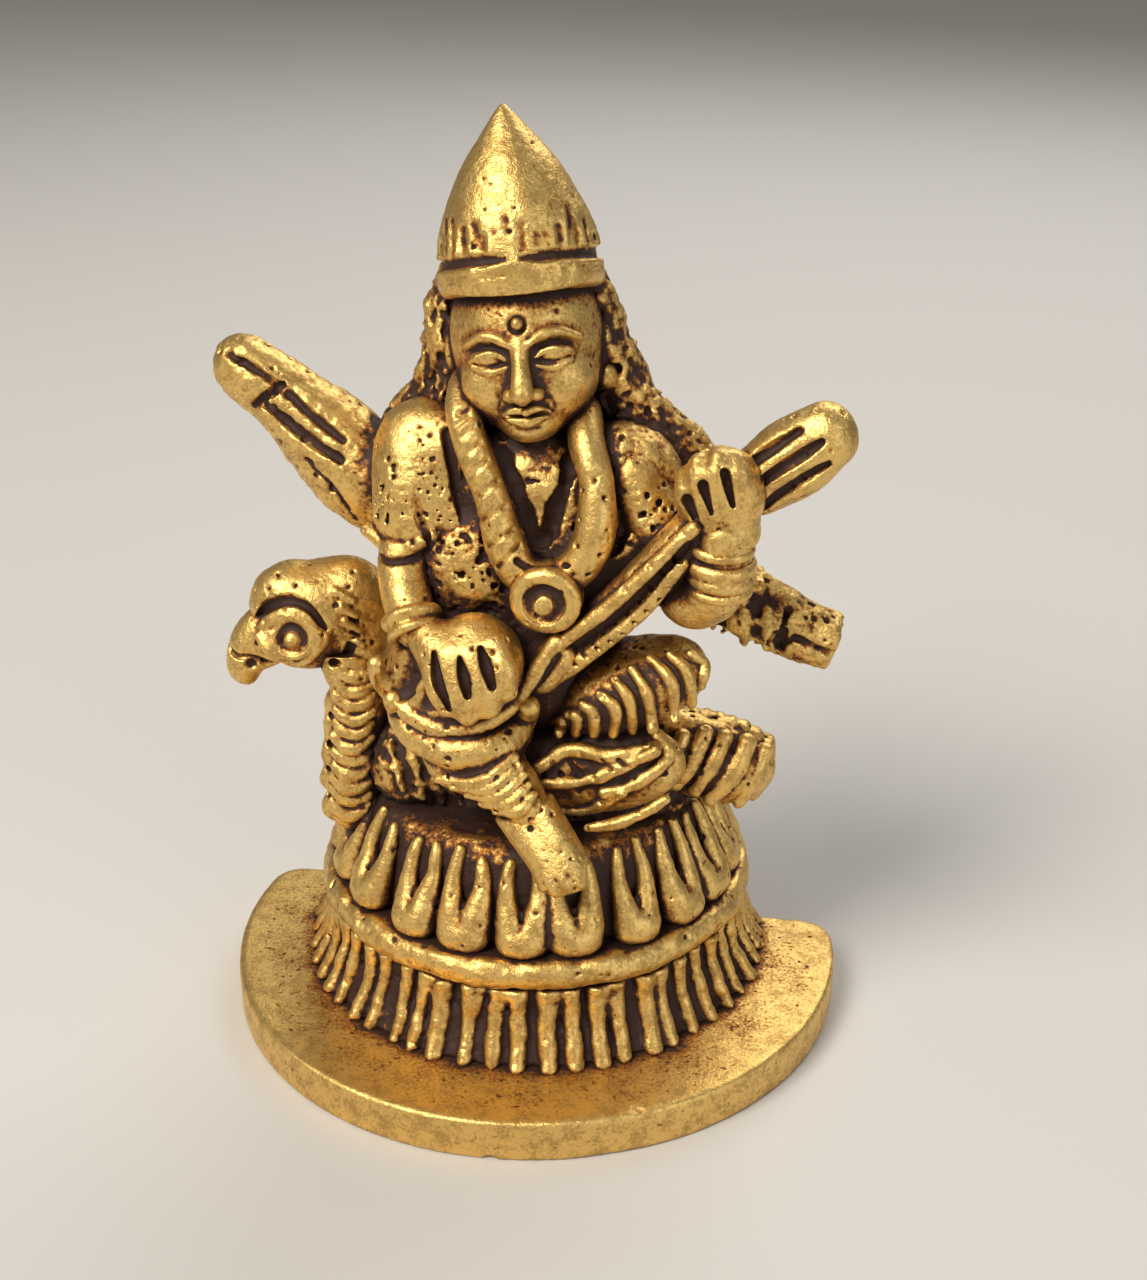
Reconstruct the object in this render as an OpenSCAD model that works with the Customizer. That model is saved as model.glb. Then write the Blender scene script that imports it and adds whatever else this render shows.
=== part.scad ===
// Small cast-brass shrine figure: a crowned, four-armed musician seated on a bird,
// on a lotus over a fluted plinth and a flat D-shaped plate. Front faces -Y, up is +Z.
// The origin is the middle of the plate's underside. Left and right are the figure's own.

/* [Base plate] */
// Radius of the plate's round front edge
plate_radius = 22.5; // [18.5:0.5:28]
// Thickness of the plate
plate_thick = 3.1; // [2:0.1:5]
// How far the flat back lies behind the centre of the plate's arc
back_cut = 5.4; // [4.2:0.1:6.6]
// Rounding of the plate's two back corners
plate_corner = 2.4; // [1:0.1:4]

/* [Plinth] */
// Radius of the plinth at its foot, over the ribs
plinth_foot_radius = 18; // [16.5:0.1:18.2]
// Radius of the plinth at its top, over the ribs
plinth_top_radius = 15.5; // [14:0.1:16.5]
// Height of the fluted band
plinth_height = 5.4; // [4:0.1:7.5]
// Number of upright ribs round the band
rib_count = 33; // [21:2:41]
// Width of one rib
rib_width = 1.7; // [1.2:0.1:2.1]
// Radius of the rounded ring on the plinth
ring_radius = 16; // [14.5:0.1:17]
// Height of the rounded ring
ring_height = 2.3; // [1.5:0.1:3]

/* [Lotus] */
// Height of the lotus over the ring
lotus_height = 6.6; // [5:0.1:9]
// Radius of the lotus drum behind the petals
lotus_radius = 13.2; // [11.5:0.1:14]
// Number of petals round the lotus
petal_count = 13; // [9:2:15]
// Width of one petal
petal_width = 4.1; // [3:0.1:4.8]

/* [Bird] */
// Length of the bird's body from breast to rump
bird_length = 23; // [19:0.5:28]
// Height of the bird's body over the lotus
bird_height = 8; // [6.5:0.1:10]
// Radius of the bird's neck at the breast
bird_neck_radius = 2.5; // [2:0.1:3.1]
// Height from the lotus to the middle of the bird's head
bird_head_rise = 13; // [10.5:0.1:16]
// Radius of the bird's head
bird_head_radius = 3.7; // [3:0.1:4.5]
// Length of the beak
beak_length = 4.6; // [3.5:0.1:6]
// Length of the fanned tail
tail_length = 7.5; // [6:0.1:10]

/* [Body] */
// Height of the torso from the bird's back to the shoulders
torso_height = 18.4; // [15:0.1:22.5]
// Radius of the chest
chest_radius = 5.6; // [4.6:0.1:6.8]
// Radius of the waist
waist_radius = 4.6; // [3.8:0.1:5.6]
// Distance between the two shoulder joints
shoulder_width = 14.6; // [12:0.1:18]
// Height of the head from chin to crown band
head_height = 9; // [7.5:0.1:11]
// Width of the head
head_width = 9.3; // [7.7:0.1:11.2]
// Lean of the head to the figure's right, in degrees
head_lean = 6.5; // [0:0.5:9]
// Height of the conical crown
crown_height = 10.2; // [8:0.1:13]
// Radius of the crown at its band
crown_radius = 5.4; // [4.6:0.1:6.5]
// Height of the crown band
band_height = 1.3; // [0.8:0.1:2]

/* [Arms] */
// Thickness of the sleeved upper arms
sleeve_width = 5.4; // [4.4:0.1:6.4]
// Length of the upper arms
upper_arm = 8.6; // [7:0.1:10.5]
// Thickness of the forearms
forearm_width = 3.5; // [2.8:0.1:4.2]
// Length of the raised back arm from shoulder to fist
raised_arm = 14.4; // [11.5:0.1:17.5]
// Length of the lowered back arm beyond the elbow
lowered_arm = 9; // [7:0.1:11]

/* [Legs] */
// Thickness of the folded thigh
thigh_width = 6.4; // [5.2:0.1:7.8]
// Thickness of the shin at the calf
shin_width = 4.8; // [3.8:0.1:5.6]
// Length of the hanging foot
foot_length = 5.6; // [4.6:0.1:6.8]

/* [Veena] */
// Radius of the veena's gourd bowl
bowl_radius = 5.2; // [4.2:0.1:6.3]
// Length of the veena's neck between the bowl and the head
veena_neck = 15.6; // [13:0.1:19]
// Width of the veena's neck
veena_width = 3; // [2.4:0.1:3.6]
// Length of the veena's head
veena_head_length = 8; // [6.6:0.1:9.8]
// Slope of the veena, in degrees
veena_slope = 44; // [38:1:48]

/* [Hidden] */
$fn = 48;
brass = "#c39a3f";
bright = "#d9b452";
dark = "#6d5530";
bands = 6;
big = 200;

// Levels of the stacked base
arc_y = (plate_radius - back_cut) / 2;
back_y = arc_y + back_cut;
plinth_z = plate_thick;
ring_z = plinth_z + plinth_height;
lotus_z = ring_z + ring_height;
seat_z = lotus_z + lotus_height;
rib_sweep = 214;
petal_sweep = 206;

// Places on the bird
saddle_z = seat_z + bird_height;
body_y = arc_y - 3.55;
bird_mid = [1, body_y, seat_z + bird_height * 0.46];
breast = bird_mid + [-bird_length / 2, -1, 0];
rump = bird_mid + [bird_length / 2, 0, 0];
nape = [breast.x - 1.6, body_y - 2.2, seat_z + bird_head_rise - bird_head_radius * 0.8];
bird_head_at = [nape.x - 3.4, body_y - 2, seat_z + bird_head_rise];
beak_tip = bird_head_at + [-bird_head_radius - beak_length * 0.45, -0.2, -beak_length * 0.85];

// Places on the figure
hip_radius = waist_radius + 1.2;
hip_at = [1.2, body_y, saddle_z + hip_radius * 0.45];
shoulder_z = saddle_z + torso_height;
chest_at = [0.2, body_y, shoulder_z - 2.6];
right_shoulder = [chest_at.x - shoulder_width / 2, body_y - 0.4, shoulder_z - 3];
left_shoulder = [chest_at.x + shoulder_width / 2, body_y - 0.4, shoulder_z - 3.4];
chin_at = [0.9, body_y - 0.6, shoulder_z + 1.2];
right_elbow = right_shoulder + [-0.9, -2.2, -upper_arm];
left_elbow = left_shoulder + [4.2, -3.2, -upper_arm];

// Places on the veena
bowl_at = [-3.2, body_y - 5.4, saddle_z + bowl_radius * 0.72];
veena_way = [cos(veena_slope), 0.2, sin(veena_slope)];
neck_from = bowl_at + [bowl_radius * 0.9, -0.8, bowl_radius * 0.2];
neck_to = neck_from + veena_way * veena_neck;
head_to = neck_to + veena_way * veena_head_length;
right_wrist = bowl_at + [-1.4, -bowl_radius * 0.4, bowl_radius * 0.98];
left_grip = neck_from + veena_way * (veena_neck - 1.5);
left_wrist = left_grip + [1.6, -veena_width / 2 - 0.6, -4.2];

// Places on the legs
left_knee = hip_at + [hip_radius + 5.4, -2.6, -0.4];
right_knee = [bowl_at.x - 1.6, bowl_at.y - 1.4, bowl_at.z - bowl_radius - shin_width * 0.1];
right_ankle = [2.2, right_knee.y - 1.4, seat_z + 4.2];

module along(from, to) {
  way = to - from;
  translate(from)
    rotate([0, acos(way.z / norm(way)), atan2(way.y, way.x)])
      children();
}

// A turned limb with flat ends, which tapers from its middle to each end
module limb(from, to, start, middle, finish) {
  length = norm(to - from);
  along(from, to)
    rotate_extrude()
      polygon([[0, 0], [start, 0], [middle, length / 2], [finish, length], [0, length]]);
}

// A rod with a slightly swollen round tip at each end
module rod(from, to, radius) {
  along(from, to) cylinder(h = norm(to - from), r = radius);
  translate(from) sphere(radius * 1.06);
  translate(to) sphere(radius * 1.06);
}

// An egg turned about the line through its two poles, cut off flat at a share of its length
module egg(from, to, radius, share = 1) {
  length = norm(to - from);
  turn = acos(1 - 2 * share);
  along(from, to)
    rotate_extrude()
      polygon(concat(
        [for (i = [0:bands]) [radius * sin(turn * i / bands), length / 2 * (1 - cos(turn * i / bands))]],
        share < 1 ? [[0, length * share]] : []));
}

module front_half() {
  translate([-big / 2, back_y - big, -big / 2]) cube(big);
}

module above(z) {
  translate([-big / 2, -big / 2, z]) cube(big);
}

module plate_outline() {
  half_chord = sqrt(plate_radius * plate_radius - back_cut * back_cut);
  corner_y = back_y - plate_corner;
  corner_x = sqrt((plate_radius - plate_corner) * (plate_radius - plate_corner)
    - (corner_y - arc_y) * (corner_y - arc_y));
  difference() {
    translate([0, arc_y]) circle(plate_radius, $fn = 120);
    translate([-big / 2, corner_y]) square([big, big]);
  }
  translate([-corner_x, corner_y - 1]) square([2 * corner_x, plate_corner + 1]);
  for (side = [-1, 1]) translate([side * corner_x, corner_y]) circle(plate_corner);
}

module base_plate() {
  color(brass) linear_extrude(plate_thick) plate_outline();
}

module plinth_core() {
  translate([0, arc_y, plinth_z])
    cylinder(h = plinth_height, r1 = plinth_foot_radius - rib_width / 2,
      r2 = plinth_top_radius - rib_width / 2, $fn = 96);
}

module rib(angle) {
  foot = plinth_foot_radius - rib_width / 2;
  top = plinth_top_radius - rib_width / 2;
  translate([0, arc_y, 0])
    rotate(angle)
      limb([0, -foot, plinth_z - rib_width], [0, -top, ring_z + rib_width],
        rib_width * 0.54, rib_width / 2, rib_width * 0.46);
}

module fluted_plinth() {
  color(dark) intersection() {
    union() {
      plinth_core();
      for (i = [0:rib_count - 1]) rib(rib_sweep * (i / (rib_count - 1) - 0.5));
    }
    front_half();
    translate([-big / 2, -big / 2, plinth_z]) cube([big, big, plinth_height]);
  }
}

module plinth_ring() {
  half = ring_height / 2;
  color(bright) intersection() {
    translate([0, arc_y, ring_z])
      rotate_extrude($fn = 96)
        polygon(concat([[0, 0]],
          [for (i = [0:bands])
            [ring_radius - half + half * sin(180 * i / bands), half - half * cos(180 * i / bands)]],
          [[0, ring_height]]));
    front_half();
  }
}

module lotus_drum() {
  translate([0, arc_y, lotus_z]) cylinder(h = lotus_height, r = lotus_radius, $fn = 96);
}

module lotus_seat() {
  color(dark) intersection() {
    lotus_drum();
    front_half();
  }
}

module petal(angle) {
  translate([0, arc_y, 0])
    rotate(angle)
      limb([0, -lotus_radius - petal_width * 0.3, lotus_z], [0, -lotus_radius + petal_width * 0.1, seat_z],
        petal_width * 0.38, petal_width * 0.49, petal_width * 0.3);
}

module lotus_petals() {
  color(bright) intersection() {
    difference() {
      for (i = [0:petal_count - 1]) petal(petal_sweep * (i / (petal_count - 1) - 0.5));
      lotus_drum();
    }
    front_half();
    above(lotus_z);
  }
}

module bird_shape() {
  egg(breast, rump, bird_height * 0.62);
}

module bird_body() {
  color(brass) intersection() {
    bird_shape();
    translate([-big / 2, -big / 2, seat_z]) cube([big, big, bird_height]);
  }
}

module neck_shape() {
  foot = [breast.x - 0.6, body_y - 3.6, seat_z];
  limb(foot, nape, bird_neck_radius, bird_neck_radius * 1.02, bird_neck_radius * 0.86);
}

module bird_neck() {
  color(bright) intersection() {
    difference() {
      neck_shape();
      bird_shape();
      head_ball();
    }
    above(seat_z);
  }
}

module head_ball() {
  translate(bird_head_at) sphere(bird_head_radius);
}

module beak_shape() {
  limb(bird_head_at, beak_tip, bird_head_radius * 0.8, bird_head_radius * 0.62, 0.5);
}

module bird_head() {
  eye_at = bird_head_at + [-0.6, -bird_head_radius * 0.86, -0.8];
  color(bright) {
    head_ball();
    along(eye_at, eye_at + [-0.12, -1, -0.1])
      rotate_extrude() translate([bird_head_radius * 0.36, 0]) circle(0.35);
  }
}

module bird_beak() {
  color(bright) difference() {
    beak_shape();
    head_ball();
  }
}

// The folded wing is a pointed leaf that lies along the bird's flank
module bird_wing() {
  from = bird_mid + [-2, -bird_height * 0.5, 1.2];
  to = bird_mid + [bird_length * 0.42, -bird_height * 0.42, 1.9];
  color(brass) difference() {
    egg(from, to, bird_height * 0.3);
    bird_shape();
  }
}

// The tail is a fan of quills that starts at the rump
module bird_tail() {
  quills = 5;
  root = rump + [-4.2, 0, 1.4];
  color(bright) difference() {
    for (i = [0:quills - 1]) {
      lift = 26 * (i / (quills - 1) - 0.5);
      rod(root + [0, -1 - i * 0.25, i * 1.1 - 2.2],
        root + [tail_length * cos(lift), -1.6 - i * 0.35, tail_length * sin(lift) + i * 0.9 - 1.6],
        1.05);
    }
    bird_shape();
  }
}

module hip_shape() {
  translate(hip_at) sphere(hip_radius);
}

module hips() {
  color(brass) intersection() {
    hip_shape();
    above(saddle_z);
  }
}

module torso_shape() {
  foot = [hip_at.x, body_y, hip_at.z];
  top = [chest_at.x, body_y, shoulder_z];
  limb(foot, top, waist_radius, chest_radius, chest_radius * 0.72);
}

module torso() {
  neck_foot = [chest_at.x, body_y, shoulder_z - 1];
  color(bright) difference() {
    union() {
      torso_shape();
      limb(neck_foot, chin_at + [0, 0.8, 0], 2.6, 2.4, 2.4);
    }
    hip_shape();
    head_shape();
  }
}

// The folded left thigh, wrapped in pleated cloth, runs out to the knee
module left_leg() {
  pleats = 5;
  hidden = 4;
  pitch = norm(left_knee - hip_at) / (pleats + hidden);
  color(brass) difference() {
    along(hip_at + [0, -1, 0], left_knee) {
      cylinder(h = pitch * (pleats + hidden), r1 = thigh_width / 2, r2 = thigh_width * 0.34);
      for (i = [0:pleats - 1])
        translate([0, 0, pitch * (i + hidden)])
          cylinder(h = pitch * 0.5, r = thigh_width * (0.53 - 0.03 * i));
    }
    hip_shape();
    translate([-big / 2, -big / 2, saddle_z - big]) cube(big);
  }
}

module knee_shape() {
  translate(right_knee) sphere(shin_width * 0.62);
}

module shin_shape() {
  limb(right_knee, right_ankle, shin_width * 0.56, shin_width / 2, shin_width * 0.36);
}

module thigh_link() {
  limb(right_knee, [hip_at.x - 1, hip_at.y, hip_at.z - 1], shin_width * 0.6, shin_width * 0.6, shin_width * 0.5);
}

// The leg ends at its lap line, where the hips and the bowl take over
module right_leg() {
  lap_y = body_y - 1.6;
  color(bright) difference() {
    union() {
      knee_shape();
      shin_shape();
      thigh_link();
    }
    hip_shape();
    bird_shape();
    bowl_shape();
    translate([-big / 2, lap_y, -big / 2]) cube(big);
  }
}

module right_foot() {
  way = [0.42, -0.36, -0.83];
  color(bright) difference() {
    limb(right_ankle, right_ankle + way * foot_length, shin_width * 0.36, shin_width * 0.4, shin_width * 0.46);
    lotus_drum();
    shin_shape();
  }
}

// The head's own frame starts at the chin and leans with the neck
module in_head() {
  translate(chin_at) rotate([-4, -head_lean, 6]) children();
}

module head_shape() {
  in_head() egg([0, 0, 0], [0, 0, head_height * 1.3], head_width / 2, 1 / 1.3);
}

module head() {
  color(bright) {
    head_shape();
    in_head() {
      limb([0, -head_width * 0.44, head_height * 0.72], [0, -head_width * 0.46, head_height * 0.38],
        0.5, 0.7, 1);
      for (side = [-1, 1]) {
        translate([side * head_width * 0.2, -head_width * 0.41, head_height * 0.66]) sphere(0.9);
        translate([side * head_width * 0.46, 0.4, head_height * 0.55]) sphere(1);
      }
    }
  }
}

module crown_band() {
  color(bright) in_head() translate([0, 0, head_height])
    rotate_extrude()
      polygon([[0, 0], [crown_radius - 0.4, 0], [crown_radius, band_height * 0.3],
        [crown_radius, band_height * 0.7], [crown_radius - 0.4, band_height], [0, band_height]]);
}

module crown() {
  color(bright) in_head() translate([0, 0, head_height + band_height])
    rotate_extrude()
      polygon(concat([[0, 0]],
        [for (i = [0:bands])
          [(crown_radius - 0.5) * (1 - pow(i / bands, 1.7)), crown_height * i / bands]]));
}

// A slab of loose hair falls from under the crown to the shoulders
module hair_back() {
  top_z = chin_at.z + head_height;
  back = body_y + chest_radius;
  half = shoulder_width / 2;
  color(dark) difference() {
    translate([0, back, 0]) rotate([90, 0, 0])
      linear_extrude(3.4)
        polygon([[-crown_radius, top_z], [-crown_radius - 1.6, top_z - head_height * 0.6],
          [-half - 2, shoulder_z - 1], [-half - 1, shoulder_z - 6], [half + 1.4, shoulder_z - 6],
          [half + 2.6, shoulder_z - 1], [crown_radius + 2, top_z - head_height * 0.6],
          [crown_radius - 0.6, top_z]]);
    head_shape();
    torso_shape();
  }
}

// Two strands hang from the neck and meet over the chest
function strand_point(side, t) = [chest_at.x + 1 + side * (4.4 - 2.6 * t * t),
  body_y - chest_radius * 0.55 - 2.3 * sin(80 * t), shoulder_z + 1 - 8 * t];

module link(from, to, radius) {
  along(from, to) cylinder(h = norm(to - from), r = radius);
}

module garland() {
  links = 3;
  color(bright) difference() {
    union() {
      for (side = [-1, 1])
        for (i = [0:links - 1]) {
          link(strand_point(side, i / links), strand_point(side, (i + 1) / links), 0.8);
          translate(strand_point(side, (i + 1) / links)) sphere(1.1);
        }
      link(strand_point(-1, 1), strand_point(1, 1), 0.8);
    }
    torso_shape();
  }
}

module pendant() {
  middle = [strand_point(0, 1).x, strand_point(0, 1).y + 0.2, shoulder_z - 9.4];
  color(bright) difference() {
    along(middle, middle + [0.05, -1, -0.2]) {
      translate([0, 0, -1.6]) cylinder(h = 1.8, r = 2.3);
      rotate_extrude() translate([1.6, 0.2]) circle(0.6);
      sphere(0.7);
    }
    torso_shape();
  }
}

module right_sleeve() {
  limb(right_shoulder + [0, 0, 2.2], right_elbow, sleeve_width * 0.36, sleeve_width / 2, sleeve_width * 0.36);
}

module right_forearm() {
  limb(right_elbow + [0, 0, 0.8], right_wrist, forearm_width / 2, forearm_width * 0.55, forearm_width * 0.4);
}

module right_front_arm() {
  color(bright) difference() {
    union() {
      right_sleeve();
      right_forearm();
    }
    torso_shape();
    bowl_shape();
  }
}

// A bangle is a flat ring that stands a little proud of the arm
module bangle(from, to, place) {
  at = from + (to - from) * place;
  along(at, at + (to - from)) cylinder(h = 0.9, r = forearm_width / 2 + 0.6);
}

module right_bangle() {
  color(bright) difference() {
    bangle(right_elbow, right_wrist, 0.78);
    right_forearm();
  }
}

// A hand is a rounded palm with four fingers side by side
module hand(palm_from, palm_to, across, reach, width) {
  limb(palm_from, palm_to, width * 0.34, width * 0.48, width * 0.4);
  for (i = [0:3]) {
    start = palm_from + (palm_to - palm_from) * 0.6 + across * (i - 1.5);
    link(start, start + reach, width * 0.13);
  }
}

module right_front_hand() {
  color(bright) difference() {
    hand(right_wrist, right_wrist + [1.8, -3.4, -3.4], [1, 0, 0.1], [0.6, -1.4, -2.2], 5);
    right_forearm();
    bowl_shape();
  }
}

module left_sleeve() {
  limb(left_shoulder + [-1, 0, 2], left_elbow, sleeve_width * 0.36, sleeve_width / 2, sleeve_width * 0.38);
}

module left_forearm() {
  limb(left_elbow, left_wrist, forearm_width * 0.62, forearm_width * 0.55, forearm_width / 2);
}

module left_front_arm() {
  color(bright) difference() {
    union() {
      left_sleeve();
      left_forearm();
      translate(left_elbow) sphere(forearm_width * 0.66);
    }
    torso_shape();
    neck_bar();
  }
}

module left_bangles() {
  color(bright) difference() {
    for (place = [0.5, 0.8]) bangle(left_elbow, left_wrist, place);
    left_forearm();
  }
}

module left_front_hand() {
  color(bright) difference() {
    hand(left_wrist, left_grip + [0.4, -veena_width / 2 - 0.4, 2.4], [1.1, 0.1, 0], [-0.6, 0.9, 1.6], 5);
    left_forearm();
    neck_bar();
  }
}

module right_back_arm() {
  root = right_shoulder + [1, 2.6, 0];
  way = [-0.78, 0.05, 0.6];
  fist = right_shoulder + [-1, 2.6, -2] + way * raised_arm;
  color(bright) difference() {
    union() {
      limb(root + [-2, 0, -2.6], fist, sleeve_width * 0.36, sleeve_width * 0.44, forearm_width * 0.62);
      translate(fist) sphere(forearm_width * 0.68);
    }
    torso_shape();
    right_sleeve();
  }
}

module left_back_arm() {
  root = left_shoulder + [1.2, 2.6, -2];
  bend = root + [5.6, 0, -4.4];
  fist = bend + [lowered_arm * 0.62, 0, -lowered_arm * 0.26];
  color(dark) difference() {
    union() {
      limb(root, bend, sleeve_width * 0.4, forearm_width * 0.6, forearm_width * 0.5);
      limb(bend, fist, forearm_width * 0.48, forearm_width * 0.56, forearm_width * 0.56);
      translate(fist) sphere(forearm_width * 0.62);
    }
    torso_shape();
    left_sleeve();
  }
}

module bowl_shape() {
  translate(bowl_at) sphere(bowl_radius);
}

module veena_bowl() {
  color(brass) difference() {
    bowl_shape();
    torso_shape();
    hip_shape();
  }
}

// The neck is a bar with a raised rail along each edge
module neck_bar() {
  along(neck_from - veena_way, neck_to)
    translate([-veena_width / 2, -0.9, 0]) cube([veena_width, 1.8, norm(veena_way) * (veena_neck + 1)]);
}

module veena_neck_rails() {
  color(brass) difference() {
    union() {
      neck_bar();
      for (side = [-1, 1])
        along(neck_from - veena_way, neck_to)
          translate([side * (veena_width / 2 - 0.35), 0, 0])
            cylinder(h = norm(veena_way) * (veena_neck + 1), r = 1.05);
    }
    bowl_shape();
    torso_shape();
  }
}

module veena_head() {
  grooves = 3;
  color(bright) difference() {
    limb(neck_to, head_to, veena_width * 0.5, veena_width * 0.92, veena_width * 0.5);
    for (i = [0:grooves - 1])
      translate([0, -veena_width * 0.9, (i - 1) * 1.5])
        rod(neck_to + veena_way * 1.6, head_to - veena_way * 2.2, 0.4);
  }
}

base_plate();
fluted_plinth();
plinth_ring();
lotus_seat();
lotus_petals();
bird_body();
bird_neck();
bird_head();
bird_beak();
bird_wing();
bird_tail();
hips();
torso();
left_leg();
right_leg();
right_foot();
head();
crown_band();
crown();
hair_back();
garland();
pendant();
right_front_arm();
right_bangle();
right_front_hand();
left_front_arm();
left_bangles();
left_front_hand();
right_back_arm();
left_back_arm();
veena_bowl();
veena_neck_rails();
veena_head();
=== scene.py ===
import math
import bpy
import numpy as np
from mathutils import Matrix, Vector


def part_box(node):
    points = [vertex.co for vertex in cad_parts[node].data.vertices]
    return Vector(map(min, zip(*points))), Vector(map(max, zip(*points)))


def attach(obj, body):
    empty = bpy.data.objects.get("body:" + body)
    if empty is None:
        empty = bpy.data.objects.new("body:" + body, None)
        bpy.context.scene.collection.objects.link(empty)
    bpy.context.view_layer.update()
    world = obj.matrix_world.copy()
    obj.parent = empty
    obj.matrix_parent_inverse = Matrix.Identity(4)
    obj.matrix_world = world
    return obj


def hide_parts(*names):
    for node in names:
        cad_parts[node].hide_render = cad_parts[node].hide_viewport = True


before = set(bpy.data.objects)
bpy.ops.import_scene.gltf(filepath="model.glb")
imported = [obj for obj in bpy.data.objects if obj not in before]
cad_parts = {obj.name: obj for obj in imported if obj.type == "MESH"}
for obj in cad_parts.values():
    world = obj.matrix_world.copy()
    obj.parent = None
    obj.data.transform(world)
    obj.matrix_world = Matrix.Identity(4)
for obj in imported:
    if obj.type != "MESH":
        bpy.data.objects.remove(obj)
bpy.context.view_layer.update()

import openvdb
from mathutils import Quaternion, Vector


# ---------------------------------------------------------------- base_plate
# The base is a flat D-shaped plate of solid brass, cast with the figure and filed by hand
# along its rim. Its top keeps the sandy skin of the mould. All sizes here are in millimetres.

def corners(node):
    """Low and high corner of a CAD node, in millimetres."""
    low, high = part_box(node)
    return np.array(low) * 1000, np.array(high) * 1000


def melt(near, far, blend):
    """The smaller of two depths, run together over a fillet of the given size."""
    if blend <= 0:
        return np.minimum(near, far)
    share = np.clip(0.5 + 0.5 * (far - near) / blend, 0, 1)
    return far + (near - far) * share - blend * share * (1 - share)


def bend(points, count):
    """A smooth curve through a few points, as count points; other columns run along with it."""
    p = np.array(points, float)
    p = np.vstack([2 * p[0] - p[1], p, 2 * p[-1] - p[-2]])
    where = np.linspace(0, len(p) - 3.0001, count)
    i = where.astype(int)
    t = (where - i)[:, None]
    a, b, c, d = p[i], p[i + 1], p[i + 2], p[i + 3]
    return b + 0.5 * t * (c - a + t * (2 * a - 5 * b + 4 * c - d + t * (3 * (b - c) + d - a)))


def clouds(count, step, spacing, rng):
    """Soft random swells over a block of cells, about as wide as the spacing."""
    size = [int(n * step / spacing) + 3 for n in count]
    swell = rng.standard_normal(size).astype(np.float32)
    for axis in range(3):
        where = np.arange(count[axis]) * step / spacing
        i = where.astype(int)
        t = (where - i).astype(np.float32)
        t = (t * t * (3 - 2 * t)).reshape([-1 if k == axis else 1 for k in range(3)])
        swell = swell.take(i, axis) * (1 - t) + swell.take(i + 1, axis) * t
    return swell


castings = []
FACING = (-0.154, 0.893, -0.424)       # the tools point back and down, into the front
OUTSIDE = 9.0                          # depth of empty space, and how far off a tool can start
MARGIN = 4                             # empty cells kept round a block of wax


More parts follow.
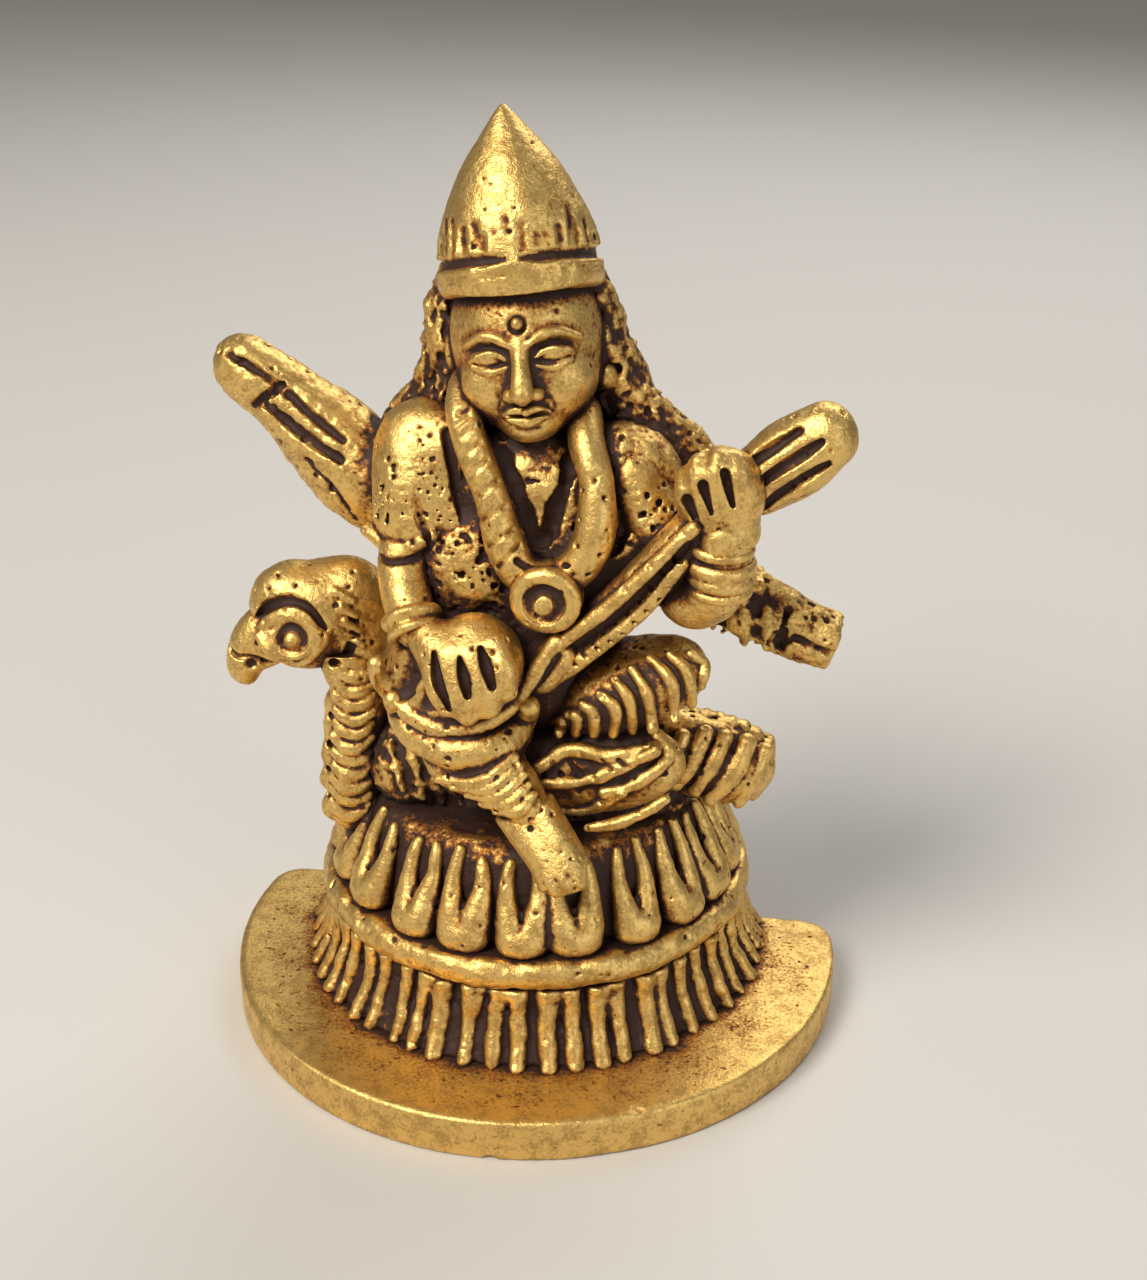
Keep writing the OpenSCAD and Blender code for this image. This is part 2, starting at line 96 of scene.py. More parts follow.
class Wax:
    """A block of modelling wax round a home point; its depth is below zero inside the form."""

    def __init__(self, home, low, high, step=0.14, seed=1, tilt=((1, 0, 0), (0, 1, 0), (0, 0, 1))):
        self.home = np.array(home, float)
        self.tilt = np.array(tilt, float)
        self.step = step
        self.low = np.array(low, float) - MARGIN * step
        count = np.ceil((np.array(high) + MARGIN * step - self.low) / step).astype(int)
        self.depth = np.full(count, OUTSIDE, np.float32)
        self.lines = [(self.low[i] + step * np.arange(count[i])).astype(np.float32) for i in range(3)]
        self.rng = np.random.default_rng(seed)

    def window(self, points, reach):
        p = np.atleast_2d(points)[:, :3]
        size = np.array(self.depth.shape)
        a = np.clip(np.floor((p.min(0) - reach - self.low) / self.step), 0, size - 1).astype(int)
        b = np.clip(np.ceil((p.max(0) + reach - self.low) / self.step) + 1, a + 1, size).astype(int)
        cut = tuple(slice(i, j) for i, j in zip(a, b))
        x, y, z = (line[c] for line, c in zip(self.lines, cut))
        return cut, x[:, None, None], y[None, :, None], z[None, None, :]

    def join(self, cut, depth, blend=0.3):
        self.depth[cut] = melt(depth, self.depth[cut], blend)

    def carve(self, cut, depth, blend=0.1):
        self.depth[cut] = -melt(depth, -self.depth[cut], blend)

    def everywhere(self):
        x, y, z = self.lines
        return (slice(None),) * 3, x[:, None, None], y[None, :, None], z[None, None, :]

    def rope(self, path, blend):
        """Depth of a round rope along path rows of x, y, z, radius."""
        path = np.array(path, float)
        cut, x, y, z = self.window(path, path[:, 3].max() + blend + self.step)
        depth = np.full(self.depth[cut].shape, OUTSIDE, np.float32)
        first = [c.start for c in cut]
        for (ax, ay, az, ar), (bx, by, bz, br) in zip(path[:-1], path[1:]):
            ends = np.array([[ax, ay, az], [bx, by, bz]])
            part, u, v, w = self.window(ends, max(ar, br) + blend + self.step)
            part = tuple(slice(c.start - f, c.stop - f) for c, f in zip(part, first))
            way = ends[1] - ends[0]
            u, v, w = u - ax, v - ay, w - az
            t = np.clip((u * way[0] + v * way[1] + w * way[2]) / (way @ way), 0, 1)
            near = np.sqrt((u - t * way[0]) ** 2 + (v - t * way[1]) ** 2 + (w - t * way[2]) ** 2)
            depth[part] = np.minimum(depth[part], near - (ar + (br - ar) * t))
        return cut, depth

    def roll(self, path, count=0, blend=0.3):
        """Lay a roll of wax along a path of x, y, z, radius rows."""
        self.join(*self.rope(bend(path, count) if count else path, blend), blend)

    def lump_depth(self, at, size, turn=(0, 0, 0), reach=1.0):
        at, size = np.array(at, float), np.array(size, float)
        cut, x, y, z = self.window(at, size.max() + reach)
        x, y, z = x - at[0], y - at[1], z - at[2]
        for axis in (2, 1, 0):
            c, s = math.cos(math.radians(turn[axis])), math.sin(math.radians(turn[axis]))
            if axis == 0:
                y, z = c * y + s * z, c * z - s * y
            elif axis == 1:
                x, z = c * x - s * z, c * z + s * x
            else:
                x, y = c * x + s * y, c * y - s * x
        far = np.sqrt((x / size[0]) ** 2 + (y / size[1]) ** 2 + (z / size[2]) ** 2)
        slope = np.sqrt((x / size[0] ** 2) ** 2 + (y / size[1] ** 2) ** 2 + (z / size[2] ** 2) ** 2)
        return cut, (far * (far - 1) / np.maximum(slope, 1e-6)).astype(np.float32)

    def lump(self, at, size, turn=(0, 0, 0), blend=0.3):
        """Press on an egg-shaped lump, turned about x, y and z in degrees."""
        self.join(*self.lump_depth(at, size, turn, blend + 0.5), blend)

    def dent(self, at, size, turn=(0, 0, 0), blend=0.1):
        """Press an egg-shaped hollow into the wax."""
        self.carve(*self.lump_depth(at, size, turn), blend)

    def skin(self, points, way):
        """Where lines from outside, running along way through the points, first meet the wax."""
        p = np.array(points, float)[:, :3]
        way = np.array(way, float) / np.linalg.norm(way)
        run = np.arange(-OUTSIDE, OUTSIDE, self.step / 2)
        spots = p[:, None, :] + run[None, :, None] * way
        cell = np.rint((spots - self.low) / self.step).astype(int)
        size = np.array(self.depth.shape)
        inside = ((cell >= 0) & (cell < size)).all(2)
        cell = np.clip(cell, 0, size - 1)
        depth = np.where(inside, self.depth[cell[..., 0], cell[..., 1], cell[..., 2]], OUTSIDE)
        row = np.arange(len(p))
        hit = (depth < 0).argmax(1)
        far = np.where((depth < 0).any(1), run[hit] + depth[row, hit], 0)
        if len(p) > 6:
            ends = np.pad(far, 2, mode="edge")
            far = (ends[:-4] + 2 * ends[1:-3] + 3 * ends[2:-2] + 2 * ends[3:-1] + ends[4:]) / 9
        return p + far[:, None] * way

    def scratch(self, path, depth=0.3, count=0, way=FACING, blend=0.08):
        """Drag a round tool over the skin; path rows are x, y, z, tool radius."""
        path = bend(path, count) if count else np.array(path, float)
        way = np.array(way, float) / np.linalg.norm(way)
        passes = min(3, max(1, round(depth / (1.3 * path[:, 3].min()))))
        for _ in range(passes):
            on = self.skin(path, way) - way * (path[:, 3:4] - depth / passes)
            self.carve(*self.rope(np.hstack([on, path[:, 3:4]]), blend), blend)

    def ridge(self, path, height=0.3, count=0, way=FACING, blend=0.15):
        """Lay a thin roll on the skin, which stands proud of it by the height."""
        path = bend(path, count) if count else np.array(path, float)
        way = np.array(way, float) / np.linalg.norm(way)
        on = self.skin(path, way) + way * (path[:, 3:4] - height)
        self.join(*self.rope(np.hstack([on, path[:, 3:4]]), blend), blend)

    def slice_off(self, depth, blend=0.1):
        """Cut away everything where the given depth is above zero."""
        self.depth = -melt(-depth, -self.depth, blend).astype(np.float32)

    def weather(self, swell=0.05, spacing=2.5, grain=0.02, grain_size=0.3, pits=0, pit_size=0.16):
        """Give the wax the wobble of hand work, the sand's grain and a few gas pits."""
        count = self.depth.shape
        self.depth += swell * clouds(count, self.step, spacing, self.rng)
        self.depth += grain * clouds(count, self.step, grain_size, self.rng)
        if pits:
            skin = np.argwhere(np.abs(self.depth) < self.step / 2)
            for cell in skin[self.rng.choice(len(skin), min(pits, len(skin)), replace=False)]:
                size = pit_size * self.rng.uniform(0.5, 1.2)
                stretch = self.rng.uniform(0.8, 1.5, 3) * size
                self.carve(*self.lump_depth(self.low + cell * self.step, stretch, reach=0.3), 0.05)

    def cast(self, name):
        """Pour the brass: turn the wax into a closed mesh, in metres, without loose crumbs."""
        grid = openvdb.FloatGrid(OUTSIDE)
        grid.copyFromArray(self.depth)
        points, _, fours = grid.convertToPolygons(0.0, 0.0)
        fours = fours.astype(np.int64)
        label = np.arange(len(points))
        pairs = np.vstack([fours[:, [0, 1]], fours[:, [1, 2]], fours[:, [2, 3]]])
        while True:
            low = np.minimum(label[pairs[:, 0]], label[pairs[:, 1]])
            fresh = label.copy()
            np.minimum.at(fresh, label[pairs[:, 0]], low)
            np.minimum.at(fresh, label[pairs[:, 1]], low)
            fresh = fresh[fresh]
            if (fresh == label).all():
                break
            label = fresh
        size = np.bincount(label, minlength=len(points))
        crumb = max(200, 0.02 * size.max())
        keep = size[label] >= crumb
        fours = fours[keep[fours[:, 0]]]
        index = np.cumsum(keep) - 1
        points, fours = points[keep], index[fours]
        place = ((points * self.step + self.low) @ self.tilt.T + self.home) / 1000
        mesh = bpy.data.meshes.new(name + "_cast")
        mesh.vertices.add(len(place))
        mesh.vertices.foreach_set("co", place.astype(np.float32).ravel())
        mesh.loops.add(fours.size)
        mesh.loops.foreach_set("vertex_index", fours.astype(np.int32).ravel())
        mesh.polygons.add(len(fours))
        mesh.polygons.foreach_set("loop_start", np.arange(0, fours.size, 4, dtype=np.int32))
        mesh.update(calc_edges=True)
        mesh.shade_smooth()
        piece = bpy.data.objects.new(name + "_cast", mesh)
        bpy.context.scene.collection.objects.link(piece)
        castings.append((piece, self))
        return piece


def brass_finish(name, bright=(0.83, 0.555, 0.18), rust=(0.4, 0.15, 0.028), lacquer=(0.042, 0.017, 0.011),
                 soak=0.5, spread=0.2, speckle=0.42, spots=0.3, grain=0.6, polish=0.4):
    """Buffed brass over dark lacquer: the lacquer stays wherever the surface is hollow."""
    finish = bpy.data.materials.new(name)
    finish.use_nodes = True
    nodes, links = finish.node_tree.nodes, finish.node_tree.links
    shader = nodes["Principled BSDF"]

    def add(kind, **settings):
        node = nodes.new(kind)
        for key, value in settings.items():
            setattr(node, key, value)
        return node

    def sums(kind, a, b, c=None):
        node = add("ShaderNodeMath", operation=kind)
        for socket, value in zip(node.inputs, (a, b, c)):
            if value is None:
                continue
            if isinstance(value, (int, float)):
                socket.default_value = value
            else:
                links.new(value, socket)
        return node.outputs[0]

    place = add("ShaderNodeTexCoord").outputs["Object"]
    hollow = add("ShaderNodeAttribute", attribute_name="hollow").outputs["Fac"]

    def noise(scale, detail=3.0):
        node = add("ShaderNodeTexNoise")
        node.inputs["Scale"].default_value = scale
        node.inputs["Detail"].default_value = detail
        links.new(place, node.inputs["Vector"])
        return node.outputs["Fac"]

    fine, broad, sand = noise(4200), noise(500, 4.0), noise(9000, 2.0)
    wet = sums("MULTIPLY_ADD", sums("SUBTRACT", fine, 0.5), speckle, hollow)
    wet = sums("MULTIPLY_ADD", sums("SUBTRACT", broad, 0.5), speckle, wet)
    stain = sums("MAXIMUM", sums("SUBTRACT", noise(2300, 1.0), 0.6), 0.0)
    wet = sums("MULTIPLY_ADD", stain, 4 * spots, wet)
    ramp = add("ShaderNodeMapRange", interpolation_type="SMOOTHSTEP")
    ramp.inputs["From Min"].default_value = soak - spread
    ramp.inputs["From Max"].default_value = soak + spread
    links.new(wet, ramp.inputs["Value"])
    film = add("ShaderNodeMapRange", interpolation_type="SMOOTHSTEP")
    film.inputs["From Min"].default_value = 0.43
    film.inputs["From Max"].default_value = 0.62
    film.inputs["To Max"].default_value = 0.36
    haze = sums("ADD", sums("MULTIPLY", noise(900, 4.0), 0.55), sums("MULTIPLY", fine, 0.45))
    links.new(haze, film.inputs["Value"])
    dark = sums("MAXIMUM", ramp.outputs["Result"], film.outputs["Result"])
    colour = add("ShaderNodeValToRGB")
    stops = colour.color_ramp.elements
    stops[0].color = (*bright, 1)
    stops[0].position = 0.0
    stops[1].color = (*lacquer, 1)
    stops[1].position = 1.0
    for where, tint in ((0.34, tuple(0.6 * b + 0.15 * r for b, r in zip(bright, rust))), (0.64, rust)):
        stop = stops.new(where)
        stop.color = (*tint, 1)
    links.new(dark, colour.inputs["Fac"])
    links.new(colour.outputs["Color"], shader.inputs["Base Color"])
    metal = add("ShaderNodeMapRange")
    metal.inputs["From Min"].default_value = 0.5
    metal.inputs["To Min"].default_value = 1.0
    metal.inputs["To Max"].default_value = 0.35
    links.new(dark, metal.inputs["Value"])
    links.new(metal.outputs["Result"], shader.inputs["Metallic"])
    dull = sums("MULTIPLY_ADD", dark, 0.22, polish)
    dull = sums("MULTIPLY_ADD", sums("SUBTRACT", sand, 0.5), 0.2, dull)
    links.new(dull, shader.inputs["Roughness"])
    bump = add("ShaderNodeBump")
    bump.inputs["Strength"].default_value = grain
    bump.inputs["Distance"].default_value = 0.00006
    links.new(sums("ADD", sand, fine), bump.inputs["Height"])
    links.new(bump.outputs["Normal"], shader.inputs["Normal"])
    return finish


def hand_over(piece, node, finish):
    """Give the piece its finish, hang it on the root body and hide the CAD part it stands for."""
    piece.data.materials.append(finish)
    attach(piece, "root")
    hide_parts(node)


filed_brass = brass_finish("filed_brass", soak=0.66, spread=0.28, speckle=0.75, spots=0.5, grain=0.6,
                           polish=0.42)

low, high = corners("base_plate")
plate_radius = (high[0] - low[0]) / 2
plate_top = high[2]
arc = np.array([0, low[1] + plate_radius, 0])
flat_back = high[1] - arc[1]

plate = Wax(arc, (low[0], -plate_radius, 0), (high[0], flat_back, plate_top), 0.2, seed=11)
_, x, y, z = plate.everywhere()
rim = np.hypot(x, y) - plate_radius + 0.12 * np.sin(3 * np.arctan2(x, -y) + 0.4)
edge = -melt(-(rim + 0 * z), -(y - flat_back + 0 * x + 0 * z), 2.2)
plate.depth = -melt(-edge, -(z - plate_top + 0.02 * x / plate_radius), 0.45)
plate.depth = -melt(-plate.depth, z + 0 * x, 0.2)
plate.weather(0.026, 4, 0.007, 0.35, pits=160, pit_size=0.14)
plate.dent((1.2, -plate_radius, 0), (0.5, 0.6, 0.35))
plate.dent((10.6, -19.2, plate_top), (0.5, 0.35, 0.3))
hand_over(plate.cast("plate"), "base_plate", filed_brass)


# ------------------------------------------------------------- fluted_plinth
# The plinth is a drum that flares to the plate. Its upright ribs are rolled out by eye and
# pressed on one by one, so their pitch wanders and some fork at the top.

aged_brass = brass_finish("aged_brass")


def round_base(angle, radius, height):
    """A point on the round base; angle 0 faces the front and grows to the figure's left."""
    turn = math.radians(angle)
    return radius * math.sin(turn), -radius * math.cos(turn), height


def keep_front(wax, low_z, high_z):
    """Trim a round wax to its front part and between two heights."""
    _, x, y, z = wax.everywhere()
    behind = y - flat_back + 0 * x + 0 * z
    past = np.abs(z - (low_z + high_z) / 2) - (high_z - low_z) / 2 + 0 * x + 0 * y
    wax.slice_off(-melt(-behind, -past, 0.15))


low, high = corners("fluted_plinth")
foot_z, top_z = low[2], high[2]
foot_radius = (high[0] - low[0]) / 2
ring_low, ring_high = corners("plinth_ring")
ring_radius = (ring_high[0] - ring_low[0]) / 2
rib_pitch = 6.6

plinth = Wax(arc, (-foot_radius, -foot_radius, foot_z), (foot_radius, flat_back, top_z), 0.18, seed=21)
_, x, y, z = plinth.everywhere()
rise = (z - foot_z) / (top_z - foot_z)
flare = np.clip(1 - rise, 0, 1.2) ** 1.8
plinth.depth = (np.hypot(x, y) - (ring_radius - 1.3 + 1.9 * flare)).astype(np.float32)
for k in range(-16, 17):
    angle = rib_pitch * k + plinth.rng.uniform(-1.1, 1.1)
    slant = plinth.rng.uniform(-1.3, 1.3)
    thick = plinth.rng.uniform(0.46, 0.66)
    stem = []
    for t in np.linspace(-0.15, 1.05, 7):
        out = ring_radius - 1.2 + 1.9 * max(0, 1 - t) ** 1.8
        stem.append((*round_base(angle, out, foot_z + t * (top_z - foot_z)),
                     thick * (1.1 - 0.4 * t + 0.65 * t * t)))
    stem = [(px + slant * 0.1 * t, py, pz, r) for t, (px, py, pz, r) in zip(np.linspace(0, 1, 7), stem)]
    plinth.roll(stem, blend=0.25)
    if plinth.rng.uniform() < 0.4:
        side = plinth.rng.choice([-1, 1])
        a = round_base(angle, ring_radius - 0.7, foot_z + 0.45 * (top_z - foot_z))
        b = round_base(angle + side * 3.2, ring_radius - 1.1, top_z)
        plinth.roll([(*a, 0.35), (*b, 0.5)], blend=0.3)
plinth.weather(0.08, 1.1, 0.04, 0.35, pits=200)
keep_front(plinth, foot_z, top_z)
hand_over(plinth.cast("plinth"), "fluted_plinth", aged_brass)


# --------------------------------------------------------------- plinth_ring
# A rounded ring caps the ribs, with a low swelling at each gap between two petals. A few gas
# pits show where the polish has cut through the skin of the casting.

petal_angles = (-98, -80, -63, -46, -26, -10, 7, 22, 41, 58, 73, 89, 104)
ring_z = (ring_low[2] + ring_high[2]) / 2
ring_half = (ring_high[2] - ring_low[2]) / 2
ring = Wax(arc, (-ring_radius, -ring_radius, ring_low[2]), (ring_radius, flat_back, ring_high[2]), 0.18,
           seed=31)
_, x, y, z = ring.everywhere()
wander = 0.16 * np.sin(5 * np.arctan2(x, -y)) + 0.1 * np.sin(11 * np.arctan2(x, -y) + 1)
reach = np.hypot(x, y) - (ring_radius - ring_half - 0.1)
thick = ring_half * (0.99 + 0.12 * wander)
ring.depth = np.sqrt(np.maximum(reach, 0) ** 2 + (z - ring_z + 0.3 * wander) ** 2) - thick
ring.depth = ring.depth.astype(np.float32)
for angle in petal_angles:
    drip = angle + 9 + ring.rng.uniform(-2, 2)
    ring.lump(round_base(drip, ring_radius - 1.3, ring_high[2] - 0.35),
              (0.9, 0.8, 0.5 + ring.rng.uniform(0, 0.3)), (0, 0, drip), blend=0.5)
ring.weather(0.1, 1.4, 0.035, 0.35, pits=260, pit_size=0.2)
keep_front(ring, ring_low[2], ring_high[2])
hand_over(ring.cast("ring"), "plinth_ring", aged_brass)


# ---------------------------------------------------------------- lotus_seat
# The lotus is a tapering drum with a rounded shoulder. Nearly all of it lies under lacquer,
# and only the petals stand out from it.

low, high = corners("lotus_seat")
drum_z, seat_z = low[2], high[2]
drum_foot = (high[0] - low[0]) / 2 + 0.2
drum_top = drum_foot - 1.2


def drum_radius(z):
    return drum_foot - (drum_foot - drum_top) * np.clip((z - drum_z) / (seat_z - drum_z), 0, 1) ** 1.3


drum = Wax(arc, (-drum_foot, -drum_foot, drum_z), (drum_foot, flat_back, seat_z + 0.4), 0.22, seed=41)
_, x, y, z = drum.everywhere()
side = np.hypot(x, y) - drum_radius(z)
drum.depth = -melt(-side, -(z - seat_z - 0.2 + 0 * x + 0 * y), 1.4).astype(np.float32)
drum.weather(0.07, 1.6, 0.05, 0.4, pits=100)
keep_front(drum, drum_z, seat_z + 0.3)
soaked_brass = brass_finish("soaked_brass", soak=0.2, spread=0.26, speckle=0.7, grain=0.9)
hand_over(drum.cast("lotus_drum"), "lotus_seat", soaked_brass)


# -------------------------------------------------------------- lotus_petals
# Each petal hangs down over the drum: a plump round tip with two arms that thin out as they
# climb, and a slot between them. They are set one by one, so no two gaps are the same.

petals = Wax(arc, (-15.8, -15.8, drum_z), (15.8, flat_back, seat_z + 0.2), 0.15, seed=51)


def petal_point(angle, height, out):
    """A point at a height from 0, the drum's foot, to 1, its top, and so far out from the drum."""
    z = drum_z + height * (seat_z - drum_z)
    return round_base(angle, float(drum_radius(z)) + out, z)


for angle in petal_angles:
    wide = petals.rng.uniform(6.2, 7.0)
    slot = petals.rng.uniform(-0.6, 0.6)
    for side in (-1, 1):
        plump = petals.rng.uniform(0.9, 1.1)
        top = petals.rng.uniform(0.9, 1.04)
        arm = [(*petal_point(angle + side * wide * s, h, out), r * plump) for s, h, out, r in (
            (0.34, 0.16, 0.5, 1.25), (0.5, 0.3, 0.5, 1.08), (0.66, 0.48, 0.42, 0.78),
            (0.72, 0.66, 0.28, 0.58), (0.66, 0.84, 0.12, 0.46), (0.56, top, -0.02, 0.34))]
        petals.roll(arm, 14, blend=0.25)
    petals.lump(petal_point(angle, 0.12, 0.7), (1.75, 1.2, 1.2), (0, 0, angle), blend=0.5)
    gap = [(*petal_point(angle + slot + 0.5 * slot * h, h, 0.9), r) for h, r in (
        (0.34, 0.1), (0.46, 0.24), (0.6, 0.42), (0.78, 0.56), (1.05, 0.6))]
    petals.carve(*petals.rope(gap, 0.2), 0.15)
petals.weather(0.06, 1.3, 0.02, 0.35, pits=200, pit_size=0.16)
_, x, y, z = petals.everywhere()
petals.slice_off(drum_radius(z) - 0.25 - np.hypot(x, y), 0.05)
keep_front(petals, drum_z, seat_z + 0.2)
hand_over(petals.cast("petals"), "lotus_petals", aged_brass)


# ----------------------------------------------------------------- bird_body
# The bird is a long egg of wax set on the lotus. It is left rough from the mould, because
# the rider's legs hide most of it. Feathers are raised on the breast and cut behind.

torso_low, torso_high = corners("torso")
perch = np.array([0, (torso_low[1] + torso_high[1]) / 2, seat_z])
BEHIND = (0, -1, 0)
dark_brass = brass_finish("dark_brass", soak=0.25, spread=0.26, speckle=0.75, grain=1.0)

bird = Wax(perch, (-11, -5.5, -0.6), (12.8, 5.5, 8.6), 0.16, seed=61)
bird.lump((1, 0, 3.6), (11.3, 4.8, 4.5), blend=0)
bird.lump((-8, -1, 2.4), (3.2, 3.6, 3.4), blend=1.5)
bird.lump((1, 0.5, 0.2), (10.5, 4.6, 1.6), blend=1.0)
for row in range(4):
    for k in range(7):
        a = -8.5 + 3 * k + 1.5 * (row % 2)
        b = 7.3 - 1.7 * row
        bird.scratch([(a, 3, b, 0.3), (a + 1.0, 4, b - 1.2, 0.3), (a + 2.4, 4, b - 1.0, 0.3)],
                     0.3, 9, way=BEHIND)
streaks = (((-8.9, 5.0), (-8.4, 3.2), (-8.0, 1.6)), ((-7.4, 4.8), (-7.0, 3.0), (-6.6, 1.2)),
           ((-6.0, 4.6), (-5.8, 2.6), (-5.2, 0.9)), ((-4.9, 3.4), (-4.3, 1.8), (-3.6, 0.3)))
for streak in streaks:
    bird.ridge([(a, -4, b, 0.34) for a, b in streak], 0.42, 10)
bird.weather(0.12, 1.1, 0.1, 0.36, pits=200, pit_size=0.22)
bird.slice_off(-0.5 - bird.lines[2][None, None, :] + 0 * bird.depth)
hand_over(bird.cast("bird_body"), "bird_body", dark_brass)


# ----------------------------------------------------------------- bird_neck
# The neck is a roll of wax that stands up from the breast. Short curved rolls laid across it
# one under another are its feathers, with a row of soft lumps down the side.

neck = Wax(perch, (-15.8, -5.4, -2.6), (-8.6, 2.2, 10.4), 0.12, seed=62)
neck.roll([(-12.3, -1.5, -1.4, 2.0), (-12.2, -1.5, 1.5, 2.2), (-12.0, -1.4, 5, 2.05),
           (-11.8, -1.3, 8.5, 1.95), (-12.6, -1.2, 10.6, 2.0)], 16)
neck.lump((-10.2, 0.2, 1.4), (2.2, 2.0, 2.8), blend=0.8)
for k in range(11):
    z = 9.9 - 1.07 * k
    x = -11.2 - 0.08 * k
    r = 0.46 + 0.015 * k
    drift = neck.rng.uniform(-0.2, 0.2, 4)
    neck.ridge([(x - 1.3, -3.6, z + 0.42 + drift[0], r * 0.8), (x - 0.7, -3.8, z + 0.02, r * 1.1),
                (x, -3.8, z - 0.14 + 0.5 * drift[1], r * 1.25), (x + 0.65, -3.7, z + 0.05, r * 1.05),
                (x + 1.1, -3.5, z + 0.4 + drift[2], r * 0.75)], 0.26, 14, blend=0.12)
    side = neck.skin([(x - 2.2, -2.6, z - 0.1 + drift[3])], FACING)[0]
    if k % 2 == 0:
        neck.lump(side + [0.45, 0.4, -0.4], (0.8, 0.9, 1.05), (0, 20, 0), blend=0.45)
        neck.dent(side + [0.4, -0.2, 0.6], (0.45, 0.5, 0.3), (0, -20, 0))
    neck.ridge([(x - 1.4, 1, z + 0.3, r), (x, 1, z - 0.2, r), (x + 1.4, 1, z + 0.3, r)], 0.4, 8,
               way=BEHIND)
neck.weather(0.08, 1.0, 0.02, 0.3, pits=60)
hand_over(neck.cast("bird_neck"), "bird_neck", aged_brass)


# ----------------------------------------------------------------- bird_head
# The head is a round lump with a raised almond for the eye. A bead in a ring stands in
# the almond, and a scratched line arches over it as a brow.


def cut_ring(wax, middle, radius, tool, depth, button):
    """Cut a ring into the front with a tube and leave a button standing in the middle."""
    side = np.cross(FACING, (0, 0, 1))
    side /= np.linalg.norm(side)
    over = np.cross(side, FACING)
    left, right, under, above = wax.skin([middle - radius * side, middle + radius * side,
                                          middle - radius * over, middle + radius * over], FACING)
    on = (left + right + under + above) / 4
    side = (right - left) / np.linalg.norm(right - left)
    over = (above - under) / np.linalg.norm(above - under)
    back = np.cross(over, side)
    turns = np.linspace(0, 2 * math.pi, 25)
    path = [(*(on + radius * (side * math.cos(a) + over * math.sin(a)) + back * (depth - tool)), tool)
            for a in turns]
    wax.carve(*wax.rope(path, 0.1), 0.1)
    wax.lump(on + 0.3 * button * back, (button, 0.6 * button, button), (-25, 0, 0), blend=0.06)


bird_head = Wax(perch, (-20, -5.6, 8.4), (-9.2, 3, 17.8), 0.12, seed=63)
bird_head.lump((-15.4, -1.1, 12.9), (3.7, 3.0, 3.9), blend=0)
bird_head.lump((-12.6, -0.2, 14.2), (3.2, 2.5, 2.9), (0, 12, 0), blend=1.2)
bird_head.lump((-11.6, -0.4, 11.4), (2.2, 2.2, 2.6), blend=1.0)
bird_head.lump((-16.9, -1.2, 14.6), (2.4, 2.2, 1.9), (0, -38, 0), blend=0.8)
brow = [(-18.4, -3.3, 12.4), (-17.5, -3.6, 14.2), (-15.8, -3.7, 15.1), (-14.2, -3.6, 14.6),
        (-13.3, -3.4, 13.0)]
bird_head.scratch([(*p, r) for p, r in zip(brow, (0.34, 0.42, 0.4, 0.32, 0.16))], 0.55, 20)
bird_head.scratch([(-11.6, -3.2, 14.6, 0.3), (-11.3, -3.2, 12.8, 0.4), (-12.2, -3.2, 10.6, 0.34)], 0.3, 10)
lens = [(-17.8, -3.9, 12.9), (-16.8, -4.0, 13.8), (-15.5, -4.1, 14.2), (-14.2, -4.0, 13.5),
        (-13.2, -3.8, 12.6), (-13.9, -4.0, 11.5), (-15.3, -4.1, 10.7), (-17.0, -4.0, 11.3),
        (-17.8, -3.9, 12.4)]
pad = bird_head.skin([(-15.6, -4.0, 12.3)], FACING)[0]
bird_head.lump(pad + [0, 0.2, 0], (2.3, 0.62, 1.45), (-20, -6, 0), blend=0.2)
bird_head.ridge([(*p, 0.34) for p in lens], 0.2, 30, blend=0.25)
cut_ring(bird_head, (-15.5, -4.0, 12.35), 0.86, 0.32, 0.36, 0.46)
for k in range(4):
    root = (-12.6 + 0.3 * k, -3, 15.8 - 1.1 * k, 0.3)
    tip = (-11.4 + 0.2 * k, -3, 15.2 - 1.1 * k, 0.25)
    bird_head.ridge([root, tip], 0.25)
bird_head.weather(0.045, 1.4, 0.013, 0.3, pits=90)
hand_over(bird_head.cast("bird_head"), "bird_head", aged_brass)


# ----------------------------------------------------------------- bird_beak
# A short hooked beak is pinched out of the head and droops to a blunt tip. One round nostril
# is pricked in each side, and a line marks where the beak meets the head.

beak = Wax(perch, (-21.8, -5, 7.4), (-15.4, 1.6, 14.2), 0.11, seed=64)
beak.roll([(-17.2, -1.4, 12.2, 2.0), (-18.4, -1.9, 11.6, 1.8), (-19.2, -2.2, 10.4, 1.55),
           (-19.6, -2.3, 9.3, 1.25), (-19.5, -2.4, 8.8, 0.9)], 16)
beak.lump((-17.8, -2.0, 10.2), (1.7, 1.4, 0.85), (0, -24, 0), blend=0.5)
for way in (FACING, BEHIND):
    hole = beak.skin([(-18.9, -2.3, 9.35)], way)[0]
    beak.dent(hole, (0.46, 0.5, 0.46))
    beak.lump(hole - 0.35 * np.array(way), (0.2, 0.3, 0.2), blend=0.05)
beak.scratch([(-20.7, -3, 11.2, 0.16), (-19.7, -3.4, 10.5, 0.24), (-18.6, -3.6, 10.5, 0.26),
              (-17.3, -3.5, 10.0, 0.3)], 0.35, 14)
beak.weather(0.038, 1.2, 0.011, 0.3, pits=30)
hand_over(beak.cast("bird_beak"), "bird_beak", aged_brass)


# ----------------------------------------------------------------- bird_wing
# The folded wing is a leaf of wax laid along the flank, with a thick rolled border. Its end
# curls round in a loop by the tail, and two loose feathers lie under it.

